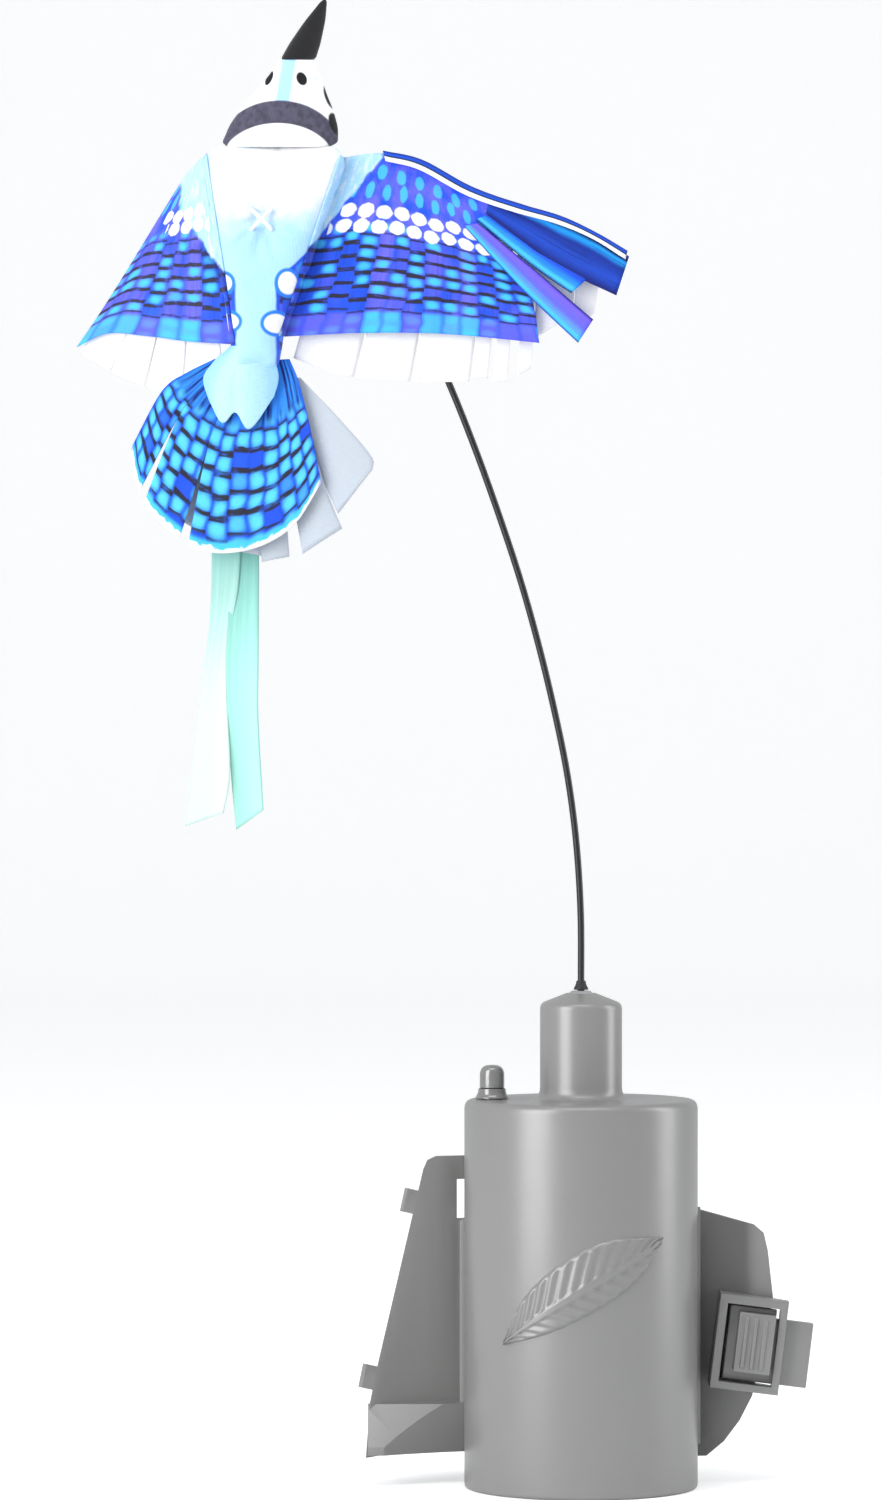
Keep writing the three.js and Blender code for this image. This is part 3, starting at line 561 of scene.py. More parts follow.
def oval(graph, x, z, centre, size, lean=0.0, soft=0.15):
    """A mask of one soft-edged oval on the front, in millimetres from the stitch."""
    dx = graph.minus(x, centre[0])
    dz = graph.minus(z, centre[1])
    dx = graph.minus(dx, graph.times(dz, lean))
    reach = graph.vector(
        "LENGTH", graph.join(graph.math("DIVIDE", dx, size[0]), graph.math("DIVIDE", dz, size[1]))
    )
    return graph.step(reach, 1.0 + soft, 1.0 - soft)


def from_stitch(graph):
    """Object coordinates in millimetres from the cross stitch."""
    mapping = graph.node("ShaderNodeMapping", vector_type="TEXTURE")
    mapping.inputs["Location"].default_value = STITCH
    mapping.inputs["Scale"].default_value = (MM, MM, MM)
    graph.feed(mapping.inputs["Vector"], object_place(graph))
    return graph.split(mapping.outputs[0])


def body_print(name, cloth):
    """White breast that turns pale blue, printed flanks and four white spots."""
    material, graph, shader = new_material(name, 0.8, sheen=0.15, specular=0.25)
    place = object_place(graph)
    x, y, z = from_stitch(graph)
    cloud = graph.times(graph.minus(graph.noise(place, 110.0, 3.0, 0.6), 0.5), 14.0)
    tint = graph.mix(graph.step(graph.plus(z, cloud), 10.0, -6.0), cloth.white, cloth.pale)
    wet = graph.plus(graph.math("ABSOLUTE", graph.minus(x, 4.0)), cloud)
    tint = graph.mix(graph.step(wet, 14.0, 24.0, 0.0, 0.8), tint, cloth.pale)
    flank = graph.join(graph.times(x, 0.03), graph.times(z, -0.03))
    cells = graph.group(
        "Feather Cells", Place=flank, Columns=10.0, Rows=7.0, From=0.1, To=1.5, Bar=0.4, Bright=0.5,
        Blob=0.5, Wobble=0.05,
    )
    dark = barred_print(graph, flank, cloth, cells, 3.0)
    left = graph.minus(graph.line(z, -19.5, -3.0, -7.2, -21.6), x)
    right = graph.minus(x, graph.line(z, -18.6, 4.0, 4.6, 27.6))
    out = graph.math("MAXIMUM", left, right)
    ragged = graph.plus(out, graph.times(cloud, 0.08))
    edge = graph.step(ragged, -0.4, 0.6)
    tint = graph.mix(edge, tint, cloth.blue)
    tint = graph.mix(graph.step(ragged, 0.8, 1.8), tint, dark)
    front = graph.math("LESS_THAN", y, BODY_MID)
    for centre, size in (
        ((-11.4, -18.9), (3.0, 2.7)), ((-10.3, -30.3), (3.9, 2.6)),
        ((8.2, -18.9), (2.8, 3.3)), ((4.8, -30.9), (3.6, 2.8)),
    ):
        ring = oval(graph, x, z, centre, (size[0] + 1.1, size[1] + 1.1), soft=0.08)
        tint = graph.mix(graph.times(ring, front), tint, [0.02, 0.2, 0.85])
        spot = oval(graph, x, z, centre, size, soft=0.1)
        tint = graph.mix(graph.times(spot, front), tint, cloth.white)
    dye(graph, shader, place, cloth.thread, tint, 0.05)
    return material


def head_print(name, cloth):
    """White hood with two eyes, a pale stripe, dark side marks and a slate collar."""
    material, graph, shader = new_material(name, 0.8, sheen=0.15, specular=0.25)
    place = object_place(graph)
    x, y, z = from_stitch(graph)
    front = graph.math("LESS_THAN", y, BODY_MID)
    cloud = graph.noise(place, 140.0, 3.0, 0.6)
    tint = graph.mix(graph.step(cloud, 0.5, 0.75, 0.0, 0.5), cloth.white, cloth.pale)
    along = graph.line(z, 35.1, 47.1, 6.6, 8.4)
    beside = graph.math("ABSOLUTE", graph.minus(x, along))
    stripe = graph.times(graph.step(beside, 2.6, 1.6), graph.step(z, 32.0, 35.0))
    tint = graph.mix(graph.times(stripe, front), tint, cloth.pale)
    marks = (
        ((20.9, 37.2), (1.9, 4.0), -0.25), ((22.4, 28.6), (1.9, 3.4), -0.3),
        ((2.6, 42.3), (1.0, 2.2), 0.35), ((12.3, 42.0), (1.55, 2.0), -0.2),
    )
    outer = oval(graph, x, z, (5.4, 19.5), (19.4, 15.9), soft=0.02)
    inner = oval(graph, x, z, (5.2, 16.6), (17.2, 11.9), soft=0.02)
    band = graph.times(outer, graph.minus(1.0, inner))
    edge = graph.noise(place, 500.0, 2.0)
    slate = graph.mix(graph.step(edge, 0.3, 0.7), cloth.slate, [c * 0.6 for c in cloth.slate])
    tint = graph.mix(band, tint, slate)
    for centre, size, lean in marks:
        mark = oval(graph, x, z, centre, size, lean, soft=0.12)
        tint = graph.mix(graph.times(mark, front), tint, (0.006, 0.006, 0.008))
    dye(graph, shader, place, cloth.thread, tint, 0.05)
    return material


def ribbon_satin(name, top, foot, thread):
    """Sheer satin with a soft sheen along the threads. Its colour runs from darker at the top to paler
    towards its free end, and this run is painted light: the backdrop's light showing through the sheer
    satin.
    """
    material, graph, shader = new_material(name, 0.36, sheen=0.35, specular=0.4)
    place = uv_place(graph, "Print")
    u, v, _w = graph.split(place)
    fold = graph.noise(graph.scaled(place, (7.0, 0.9, 1.0)), 1.0, 2.0, 0.5)
    down = graph.plus(v, graph.times(graph.minus(fold, 0.5), 0.45))
    # Painted light: darker at the top and paler towards the free end, where the backdrop's light shows
    # through the sheer satin.
    tint = graph.mix(graph.step(down, 0.05, 0.6), top, foot)
    selvedge = graph.step(graph.math("ABSOLUTE", graph.minus(u, 0.5)), 0.45, 0.47)
    tint = graph.mix(graph.times(selvedge, 0.35), tint, [c * 0.6 for c in top])
    graph.feed(shader.inputs["Base Color"], tint)
    weave_on(graph, shader, uv_place(graph, "Cut"), thread * 0.6, 0.06)
    return material


# ---- shapes -------------------------------------------------------------------------------
def finished(name, bm, material, body, sharp=math.radians(38), normals=True):
    """Makes bm a piece of the object, which rides on a body."""
    if normals:
        bmesh.ops.remove_doubles(bm, verts=bm.verts, dist=1e-7)
        bmesh.ops.recalc_face_normals(bm, faces=bm.faces)
    mesh = bpy.data.meshes.new(name)
    bm.to_mesh(mesh)
    bm.free()
    for face in mesh.polygons:
        face.use_smooth = True
    mesh.set_sharp_from_angle(angle=sharp)
    piece = bpy.data.objects.new(name, mesh)
    bpy.context.collection.objects.link(piece)
    for finish in [material] if isinstance(material, str) else material:
        mesh.materials.append(bpy.data.materials[finish])
    if body:
        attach(piece, body)
    return piece


def rounded(corners, steps=5):
    """A profile of [radius, z, fillet] corners, each fillet a short curve, in metres."""
    line = []
    for i, corner in enumerate(corners):
        here = Vector(corner[:2])
        fillet = corner[2] if len(corner) > 2 else 0
        if not fillet:
            line.append(here)
            continue
        before = (Vector(corners[i - 1][:2]) - here).normalized() * fillet
        after = (Vector(corners[i + 1][:2]) - here).normalized() * fillet
        for k in range(steps + 1):
            t = k / steps
            line.append(here + before * (1 - t) ** 2 + after * t ** 2)
    return [(p.x * MM, p.y * MM) for p in line]


def turned(bm, profile, steps=96, centre=(0.0, 0.0)):
    """Spins a profile of (radius, z) round an upright axis at centre."""
    verts = [bm.verts.new((r, 0, z)) for r, z in profile]
    edges = [bm.edges.new(pair) for pair in zip(verts, verts[1:])]
    bmesh.ops.spin(
        bm, geom=verts + edges, cent=(0, 0, 0), axis=(0, 0, 1), angle=FULL_TURN, steps=steps,
        use_merge=True,
    )
    bmesh.ops.remove_doubles(bm, verts=bm.verts, dist=1e-6)
    bmesh.ops.translate(bm, verts=bm.verts, vec=(*centre, 0))


def softened(name, node, material, width, segments=2):
    """A copy of a CAD node with its sharp edges rounded over."""
    bm = bmesh.new()
    bm.from_mesh(NODES[node].data)
    bmesh.ops.remove_doubles(bm, verts=bm.verts, dist=2e-6)
    bmesh.ops.dissolve_limit(
        bm, angle_limit=math.radians(1), verts=bm.verts, edges=bm.edges, delimit={"NORMAL"}
    )
    sharp = [
        e for e in bm.edges
        if len(e.link_faces) == 2 and e.calc_face_angle(0) > math.radians(32)
    ]
    bmesh.ops.bevel(
        bm, geom=sharp, offset=width, offset_type="OFFSET", segments=segments, profile=0.5,
        affect="EDGES", clamp_overlap=True, material=-1,
    )
    bmesh.ops.triangulate(bm, faces=[f for f in bm.faces if len(f.verts) > 4])
    piece = finished(name, bm, material, BODY_OF[node], math.radians(50))
    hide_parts(node)
    return piece


BODY_OF = {
    "saddle": "housing", "latch_bezel": "housing", "latch_pad": "latch", "latch_bolt": "latch",
    "control_board": "housing",
}


def flowing(points, steps=10):
    """A smooth line through points, as many short steps."""
    points = [Vector(p) for p in points]
    ends = [points[0] * 2 - points[1], *points, points[-1] * 2 - points[-2]]
    line = []
    for a, b, c, d in zip(ends, ends[1:], ends[2:], ends[3:]):
        for k in range(steps):
            t = k / steps
            line.append(0.5 * (2 * b + (c - a) * t + (2 * a - 5 * b + 4 * c - d) * t * t
                               + (3 * b - a - 3 * c + d) * t ** 3))
    return [*line, points[-1]]


class Line:
    """A line that is read by the share of its length."""

    def __init__(self, points, smooth=True):
        self.points = flowing(points) if smooth else [Vector(p) for p in points]
        self.runs = [0.0]
        for a, b in zip(self.points, self.points[1:]):
            self.runs.append(self.runs[-1] + (b - a).length)

    def at(self, share):
        goal = min(max(share, 0.0), 1.0) * self.runs[-1]
        i = min(max(bisect.bisect_left(self.runs, goal) - 1, 0), len(self.points) - 2)
        run = self.runs[i + 1] - self.runs[i]
        return self.points[i].lerp(self.points[i + 1], (goal - self.runs[i]) / run if run > 0 else 0.0)


class Patch:
    """A four-sided cut of cloth between its top, foot, left and right lines, in X and Z."""

    def __init__(self, top, foot, left, right):
        self.top, self.foot = Line(top), Line(foot)
        self.left, self.right = Line(left), Line(right)

    def at(self, u, v):
        top, foot = self.top, self.foot
        sides = top.at(u) * (1 - v) + foot.at(u) * v + self.left.at(v) * (1 - u) + self.right.at(v) * u
        corners = (
            top.at(0) * (1 - u) * (1 - v) + top.at(1) * u * (1 - v)
            + foot.at(0) * (1 - u) * v + foot.at(1) * u * v
        )
        return sides - corners


def cut_mesh():
    bm = bmesh.new()
    bm.loops.layers.uv.new("Print")
    bm.loops.layers.uv.new("Cut")
    return bm


def add_cloth(bm, place, across, along, stretch=1.0, spans=((0.0, 1.0), (0.0, 1.0)), finish=0):
    """Adds one cut of cloth: place(u, v) gives x, y, z in millimetres from the stitch."""
    prints, cuts = bm.loops.layers.uv["Print"], bm.loops.layers.uv["Cut"]
    made = bmesh.ops.create_grid(bm, x_segments=across, y_segments=along, size=0.5)
    (low_u, high_u), (low_v, high_v) = spans
    spots = {}
    for vert in made["verts"]:
        u = low_u + (vert.co.x + 0.5) * (high_u - low_u)
        v = low_v + (vert.co.y + 0.5) * (high_v - low_v)
        spots[vert] = (u, v)
    for vert, (u, v) in spots.items():
        vert.co = STITCH + Vector(place(u, v)) * MM
    for face in {f for vert in spots for f in vert.link_faces}:
        face.material_index = finish
        for loop in face.loops:
            loop[prints].uv = spots[loop.vert]
            loop[cuts].uv = ((loop.vert.co.x - STITCH.x) * stretch, loop.vert.co.z - STITCH.z)


def sheet_piece(name, bm, material, bodies, thick, replaces=()):
    bmesh.ops.recalc_face_normals(bm, faces=bm.faces)
    bm.normal_update()
    if sum(f.normal.y for f in bm.faces) > 0:
        bmesh.ops.reverse_faces(bm, faces=bm.faces)
    area = sum(f.calc_area() for f in bm.faces)
    piece = finished(name, bm, material, None, normals=False, sharp=math.radians(60))
    wall = piece.modifiers.new("Thickness", "SOLIDIFY")
    wall.thickness = thick
    wall.offset = 0.0
    if isinstance(bodies, str):
        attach(piece, bodies)
    else:
        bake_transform(piece)
    if replaces:
        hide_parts(*replaces)
    return piece


def root_x(root, z):
    (x0, z0), (x1, z1) = root
    return x0 + (x1 - x0) * (z - z0) / (z1 - z0)


# ---- filling a sewn form ------------------------------------------------------------------
SIM_SCALE = 20.0  # the cloth solver works on a form of about a metre


def sewn_slab(outline, front, back, rim):
    """A slab between two outlines in X and Z with its rim rounded over, in millimetres."""
    bm = bmesh.new()
    verts = [bm.verts.new((x, front, z)) for x, z in outline]
    face = bmesh.ops.contextual_create(bm, geom=verts)["faces"]
    pushed = bmesh.ops.extrude_face_region(bm, geom=face, use_keep_orig=True)["geom"]
    moved = [g for g in pushed if isinstance(g, bmesh.types.BMVert)]
    bmesh.ops.translate(bm, verts=moved, vec=(0, back - front, 0))
    bmesh.ops.recalc_face_normals(bm, faces=bm.faces)
    sharp = [e for e in bm.edges if e.calc_face_angle(0) > math.radians(60)]
    bmesh.ops.bevel(
        bm, geom=sharp, offset=rim, offset_type="OFFSET", segments=4, profile=0.5, affect="EDGES",
        clamp_overlap=True, material=-1,
    )
    return bm


def inflated(name, bm, voxel, cap, pinned, pressure=4.0, frames=20):
    """Fills a closed form with the cloth solver and returns it as a bmesh in millimetres."""
    mesh = bpy.data.meshes.new(name)
    bmesh.ops.scale(bm, vec=(SIM_SCALE * MM,) * 3, verts=bm.verts)
    bm.to_mesh(mesh)
    bm.free()
    form = bpy.data.objects.new(name, mesh)
    bpy.context.collection.objects.link(form)
    remesh = form.modifiers.new("Remesh", "REMESH")
    remesh.mode = "VOXEL"
    remesh.voxel_size = voxel * SIM_SCALE * MM
    even = bpy.data.meshes.new_from_object(form.evaluated_get(bpy.context.evaluated_depsgraph_get()))
    form.modifiers.clear()
    form.data = even
    start = [v.co.copy() for v in even.vertices]
    held = form.vertex_groups.new(name="Held")
    for vertex in even.vertices:
        share = pinned(vertex.co / (SIM_SCALE * MM))
        if share > 0:
            held.add([vertex.index], share, "REPLACE")
    cloth = form.modifiers.new("Cloth", "CLOTH")
    settings = cloth.settings
    settings.quality = 6
    settings.use_pressure = True
    settings.uniform_pressure_force = pressure
    settings.effector_weights.gravity = 0.0
    settings.vertex_group_mass = "Held"
    settings.tension_stiffness = 12.0
    settings.compression_stiffness = 12.0
    settings.bending_stiffness = 0.4
    cloth.point_cache.frame_start = 1
    cloth.point_cache.frame_end = frames
    for step in range(1, frames + 1):
        bpy.context.scene.frame_set(step)
    filled = bpy.data.meshes.new_from_object(
        form.evaluated_get(bpy.context.evaluated_depsgraph_get())
    )
    form.modifiers.clear()
    form.data = filled
    bpy.context.scene.frame_set(1)
    result = bmesh.new()
    result.from_mesh(form.data)
    result.verts.ensure_lookup_table()
    limit = cap * SIM_SCALE * MM
    for vertex, home in zip(result.verts, start):
        move = vertex.co - home
        if move.length > limit:
            vertex.co = home + move.normalized() * limit
    bmesh.ops.scale(result, vec=(1 / (SIM_SCALE * MM),) * 3, verts=result.verts)
    bpy.data.objects.remove(form)
    return result


def puckered(point, centre, reach, depth, folds):
    """How far cloth is drawn in by folds that run out from a stitch."""
    dx, dz = point.x - centre[0], point.z - centre[1]
    far = math.hypot(dx, dz)
    if far > reach:
        return 0.0
    turn = math.atan2(dz, dx)
    swirl = noise.noise(Vector((math.cos(turn) * 1.7, math.sin(turn) * 1.7, 3.1)))
    fold = math.sin(folds * turn + 5.0 * swirl)
    ease = (1 - far / reach) ** 1.5
    return depth * ease * fold * min(1.0, far / 1.5) - 1.6 * depth * math.exp(-((far / 2.4) ** 2))


# ---- operators ----------------------------------------------------------------------------
class DECOY_OT_stage(bpy.types.Operator):
    """Camera, soft lights and a pale floor that curves up into a backdrop"""

    bl_idname = "decoy.stage"
    bl_label = "Stage"

    def execute(self, context):
        sizes = context.scene.decoy_stage
        data = bpy.data.cameras.new("Camera")
        data.lens = 144
        data.sensor_width = 36
        data.clip_end = 50
        camera = bpy.data.objects.new("Camera", data)
        camera.location = (sizes.camera_x, -sizes.camera_distance, sizes.camera_height)
        camera.rotation_euler = (math.pi / 2, 0, 0)
        context.collection.objects.link(camera)
        context.scene.camera = camera
        context.scene.view_settings.view_transform = "Standard"

        bm = bmesh.new()
        half, reach, bend, wall = 6.0, 3.5, 1.2, 6.0
        seeds = [bm.verts.new((side, -reach - bend, wall)) for side in (-half, half)]
        edge = bm.edges.new(seeds)
        # Straight runs are vectors; a bend is the Y that its curve turns about.
        runs = (
            Vector((0, 0, bend - wall)), -reach, Vector((0, 2 * reach, 0)), reach,
            Vector((0, 0, wall)),
        )
        for step in runs:
            if isinstance(step, float):
                grown = bmesh.ops.spin(
                    bm, geom=[*edge.verts, edge], cent=(0, step, bend), axis=(1, 0, 0),
                    angle=math.pi / 2, steps=24,
                )["geom_last"]
            else:
                grown = bmesh.ops.extrude_edge_only(bm, edges=[edge])["geom"]
                ends = [g for g in grown if isinstance(g, bmesh.types.BMVert)]
                bmesh.ops.translate(bm, verts=ends, vec=step)
            edge = next(
                g for g in grown
                if isinstance(g, bmesh.types.BMEdge) and abs(g.verts[0].co.x - g.verts[1].co.x) > half
            )
        mesh = bpy.data.meshes.new("floor")
        bm.to_mesh(mesh)
        bm.free()
        for face in mesh.polygons:
            face.use_smooth = True
        floor = bpy.data.objects.new("floor", mesh)
        context.collection.objects.link(floor)
        material, graph, shader = new_material("Floor", 0.9, specular=0.1)
        speck = graph.noise(object_place(graph), 3.0, 2.0)
        tint = tuple(sizes.floor)
        graph.feed(shader.inputs["Base Color"], graph.mix(speck, [c * 0.99 for c in tint], tint))
        shader.inputs["Emission Color"].default_value = (sizes.lift, sizes.lift, sizes.lift, 1.0)
        seen = graph.node("ShaderNodeLightPath").outputs["Is Camera Ray"]
        graph.feed(shader.inputs["Emission Strength"], seen)
        mesh.materials.append(material)

        world = bpy.data.worlds.new("Soft light")
        world.use_nodes = True
        sky = world.node_tree.nodes["Background"]
        sky.inputs["Color"].default_value = (0.98, 0.99, 1.0, 1.0)
        sky.inputs["Strength"].default_value = sizes.sky
        context.scene.world = world

        lights = (
            ("Key", (-1.0, -0.95, 0.5), (0.75, 1.5), sizes.key_power),
            ("Rim", (1.3, 0.05, 0.5), (0.5, 1.4), sizes.rim_power),
            ("Top", (0.0, -0.7, 1.9), (1.4, 0.5), sizes.rim_power),
        )
        for name, place, (wide, tall), power in lights:
            data = bpy.data.lights.new(name, "AREA")
            data.shape = "RECTANGLE"
            data.size, data.size_y = wide, tall
            data.energy = power
            lamp = bpy.data.objects.new(name, data)
            lamp.location = place
            aim = Vector((0, 0, 0.2)) - Vector(place)
            lamp.rotation_euler = aim.to_track_quat("-Z", "Y").to_euler()
            context.collection.objects.link(lamp)
        return {"FINISHED"}


class DECOY_OT_finishes(bpy.types.Operator):
    """Node groups and materials, and new finishes for the carried-over inner pieces"""

    bl_idname = "decoy.finishes"
    bl_label = "Finishes"

    def execute(self, context):
        plastic, cloth = context.scene.decoy_plastic, Tints(context.scene.decoy_cloth)
        build_groups()
        grey = tuple(plastic.grey)
        moulded("Housing grey", grey, 0.3, plastic.grain, specular=1.0)
        moulded("Latch grey", [c * 1.05 for c in grey], 0.28, plastic.grain * 0.7, specular=1.0)
        moulded("Button rubber", [c * 0.8 for c in grey], 0.16, plastic.grain, coat=0.7, specular=1.0)
        moulded("Dark plastic", (0.025, 0.025, 0.028), 0.5, plastic.grain)
        moulded("Black rubber", (0.012, 0.012, 0.013), 0.6, plastic.grain * 0.8)
        moulded("Nylon", (0.8, 0.78, 0.7), 0.45, plastic.grain)
        moulded("Cell sleeve", (0.02, 0.05, 0.03), 0.28, plastic.grain * 2, coat=0.3)
        moulded("Board", (0.01, 0.11, 0.035), 0.4, plastic.grain * 0.6, coat=0.2)
        moulded("Wire coat", (0.006, 0.006, 0.007), 0.32, 0.0004, dust=0.05)
        brushed("Steel", (0.62, 0.63, 0.65), 0.3)
        brushed("Brass", (0.72, 0.52, 0.2), 0.33, stretch=(6, 6, 1))
        thread = cloth.thread
        plain_cloth("White cloth", cloth.white, thread)
        # The tail's lining is white cloth like the wings' linings. Its grey is painted shade.
        plain_cloth("Grey lining", (0.5, 0.55, 0.62), thread)
        plain_cloth("Thread", cloth.white, thread, layer=None)
        plain_cloth("Black felt", (0.008, 0.008, 0.01), thread, sheen=0.4, layer=None, roughness=0.9)
        body_print("Body print", cloth)
        head_print("Head print", cloth)
        right_dots = ((11.0, 0.315, 0.1, 1.0), (11.5, 0.4, 0.06, 0.86))
        wing_print("Right wing print", cloth, 13.0, 1.0, (-18.6, 18.9, 5.6, 36.0), right_dots, 0.0)
        left_dots = ((6.0, 0.29, 0.15, 0.8), (6.0, 0.36, 0.1, 0.7))
        folded = -1 / math.hypot(1, LEFT_SWEEP)
        wing_print("Left wing print", cloth, 7.0, folded, (-22.0, 4.0, 6.0, 24.0), left_dots, 0.37)
        tail_print("Tail print", cloth)
        striped_print("Violet feather", cloth, (
            (0.0, (0.01, 0.05, 0.4)), (0.12, cloth.cyan), (0.3, (0.1, 0.3, 0.98)),
            (0.55, cloth.violet), (0.85, (0.18, 0.12, 0.9)), (1.0, cloth.navy),
        ), (0.05, 0.04, 0.5))
        striped_print("Blue feather", cloth, (
            (0.0, cloth.navy), (0.2, cloth.cyan), (0.42, (0.02, 0.25, 0.9)), (0.75, cloth.blue),
            (1.0, cloth.navy),
        ), cloth.navy)
        striped_print("Navy feather", cloth, (
            (0.0, cloth.navy), (0.3, (0.01, 0.06, 0.5)), (0.62, (0.005, 0.03, 0.3)),
            (0.78, (0.01, 0.3, 0.85)), (0.86, (0.0, 0.01, 0.08)), (1.0, (0.01, 0.04, 0.4)),
        ), (0.001, 0.003, 0.03), 0.6)
        striped_print("Leading edge", cloth, (
            (0.0, (0.004, 0.03, 0.3)), (0.35, (0.01, 0.08, 0.6)), (0.52, (0.002, 0.004, 0.03)),
            (0.6, cloth.white), (1.0, cloth.white),
        ), (0.0, 0.01, 0.1), 0.15)
        striped_print("Tail covert", cloth, (
            (0.0, (0.3, 0.6, 0.92)), (0.3, (0.5, 0.78, 0.96)), (0.7, (0.42, 0.7, 0.94)),
            (1.0, (0.3, 0.58, 0.92)),
        ), (0.25, 0.5, 0.8), 0.3)
        ribbon_satin("Mint pale", (0.3, 0.62, 0.56), (0.68, 0.93, 0.86), thread)
        # The back tail is the same streamer as the front one. Its darker copy of the finish is painted
        # shade.
        ribbon_satin("Mint deep", (0.2, 0.5, 0.45), (0.36, 0.76, 0.66), thread)
        for finish, names in (
            ("Housing grey", ("tower_shell", "saddle", "base_lid", "feather_emblem")),
            ("Dark plastic", ("deck", "switch_body", "cell_cradle", "wing_left_spar", "wing_right_spar")),
            ("Steel", (
                "gearmotor_can", "pinion_shaft", "spindle", "chuck_screw", "button_spring",
                *(f"deck_screw_{i}" for i in (1, 2, 3)),
                *(f"{kind}_{i}" for kind in ("saddle_screw", "contact_spring") for i in (1, 2, 3, 4)),
            )),
            ("Brass", ("gearmotor_gearbox", "motor_pinion", "lower_bush", "upper_bush")),
            ("Nylon", ("spindle_wheel", "button_stem")),
            ("Cell sleeve", tuple(f"cell_{i}" for i in (1, 2, 3, 4))),
            ("Board", ("contact_plate_bottom", "contact_plate_top", "control_board")),
        ):
            for name in names:
                for held in NODES[name].material_slots:
                    held.material = bpy.data.materials[finish]
        return {"FINISHED"}


class Tints:
    """The cloth settings as plain numbers."""

    def __init__(self, group):
        for name in ("white", "pale", "cyan", "violet", "blue", "navy", "bar", "slate", "mint"):
            setattr(self, name, tuple(getattr(group, name)))
        self.thread = group.thread


class DECOY_OT_tower(bpy.types.Operator):
    """Tower shell with its neck, and the raised feather on its front"""

    bl_idname = "decoy.tower"
    bl_label = "Tower"

    def execute(self, context):
        plastic = context.scene.decoy_plastic
        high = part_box("tower_shell")[1]
        radius, top = high[0] / MM, high[2] / MM
        bore, shoulder, neck = radius - 2.4, 116.3, 12.3
        bm = bmesh.new()
        turned(bm, rounded([
            (bore, 0), (radius, 0, 1.3), (radius, shoulder, 2.8), (neck, shoulder, 3.6),
            (neck, top - 3.2, 1.6), (4.2, top, 0.5), (4.2, top - 3), (8.6, top - 5.2),
            (8.6, shoulder - 2.4), (bore, shoulder - 2.4, 1.0), (bore, 0),
        ]), plastic.segments)
        shell = finished("tower_body", bm, "Housing grey", "housing")
        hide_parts("tower_shell")
        self.emblem(radius)
        return {"FINISHED"}

    def emblem(self, radius):
        """A raised vane with a quill and barbs, bent round the front of the tower."""
        lower = Line([(-26, 0, 45), (-10, 0, 49), (6, 0, 57), (18, 0, 66), (26, 0, 77)])
        upper = Line([(-26, 0, 45), (-19, 0, 59), (-7, 0, 70), (8, 0, 77), (26, 0, 77)])
        relief = 1.15
        bm = bmesh.new()
        made = bmesh.ops.create_grid(bm, x_segments=150, y_segments=36, size=0.5)
        for vert in made["verts"]:
            u, v = vert.co.x + 0.5, vert.co.y + 0.5
            spot = lower.at(u).lerp(upper.at(u), v)
            across = abs(v - 0.42) * 2
            barb = math.sin(u * 90 - across * 12)
            edge = min(v, 1 - v, u * 3, (1 - u) * 3)
            rise = relief * min(1.0, edge / 0.07) - 0.35
            rise += 0.22 * barb * min(1.0, edge / 0.1) if across > 0.12 else 0.4
            reach = radius + rise
            turn = spot.x / radius
            vert.co = Vector((reach * math.sin(turn), -reach * math.cos(turn), spot.z)) * MM
        for face in bm.faces:
            face.normal_update()
        if sum(f.normal.y for f in bm.faces) > 0:
            bmesh.ops.reverse_faces(bm, faces=bm.faces)
        piece = finished("feather_relief", bm, "Housing grey", "housing",
                         normals=False, sharp=math.radians(80))
        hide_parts("feather_emblem")


class DECOY_OT_button(bpy.types.Operator):
    """Domed rubber power button and its collar"""

    bl_idname = "decoy.button"
    bl_label = "Button"

    def execute(self, context):
        low, high = (Vector(c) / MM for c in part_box("button_dome"))
        x, radius = (low.x + high.x) / 2, (high.x - low.x) / 2
        foot, top = low.z, high.z
        bm = bmesh.new()
        turned(bm, rounded([
            (0, foot), (radius, foot, 0.3), (radius, top - 5.9, 0.1), (radius + 0.5, top - 5.6, 0.1),
            (radius + 0.5, top + 1.1, 3.1), (0, top + 1.2),
        ], 12), 64, (x * MM, 0))
        dome = finished("button_cap", bm, "Button rubber", "button", sharp=math.radians(60))
        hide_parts("button_dome")
        low, high = (Vector(c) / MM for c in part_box("button_collar"))
        inner, outer = radius + 0.65, (high.x - low.x) / 2
        bm = bmesh.new()
        turned(bm, rounded([
            (inner, low.z), (outer + 0.6, low.z, 0.2), (outer + 0.4, low.z + 0.5, 0.3),
            (radius + 1.0, low.z + 1.5, 0.9), (radius + 0.9, high.z + 0.2, 0.1), (inner, high.z + 0.2),
            (inner, low.z),
        ]), 64, (x * MM, 0))
        collar = finished("button_foot", bm, "Button rubber", "housing")
        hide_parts("button_collar")
        return {"FINISHED"}


class DECOY_OT_saddle(bpy.types.Operator):
    """Saddle, latch bezel, ribbed pad and bolt, with rounded edges"""

    bl_idname = "decoy.saddle"
    bl_label = "Saddle and latch"

    def execute(self, context):
        width = context.scene.decoy_plastic.soften
        softened("saddle_body", "saddle", "Housing grey", width)
        softened("latch_frame", "latch_bezel", "Latch grey", width * 1.6, 3)
        softened("latch_thumb", "latch_pad", "Latch grey", width * 0.5, 3)
        softened("latch_slider", "latch_bolt", "Latch grey", width * 1.2, 3)
        return {"FINISHED"}


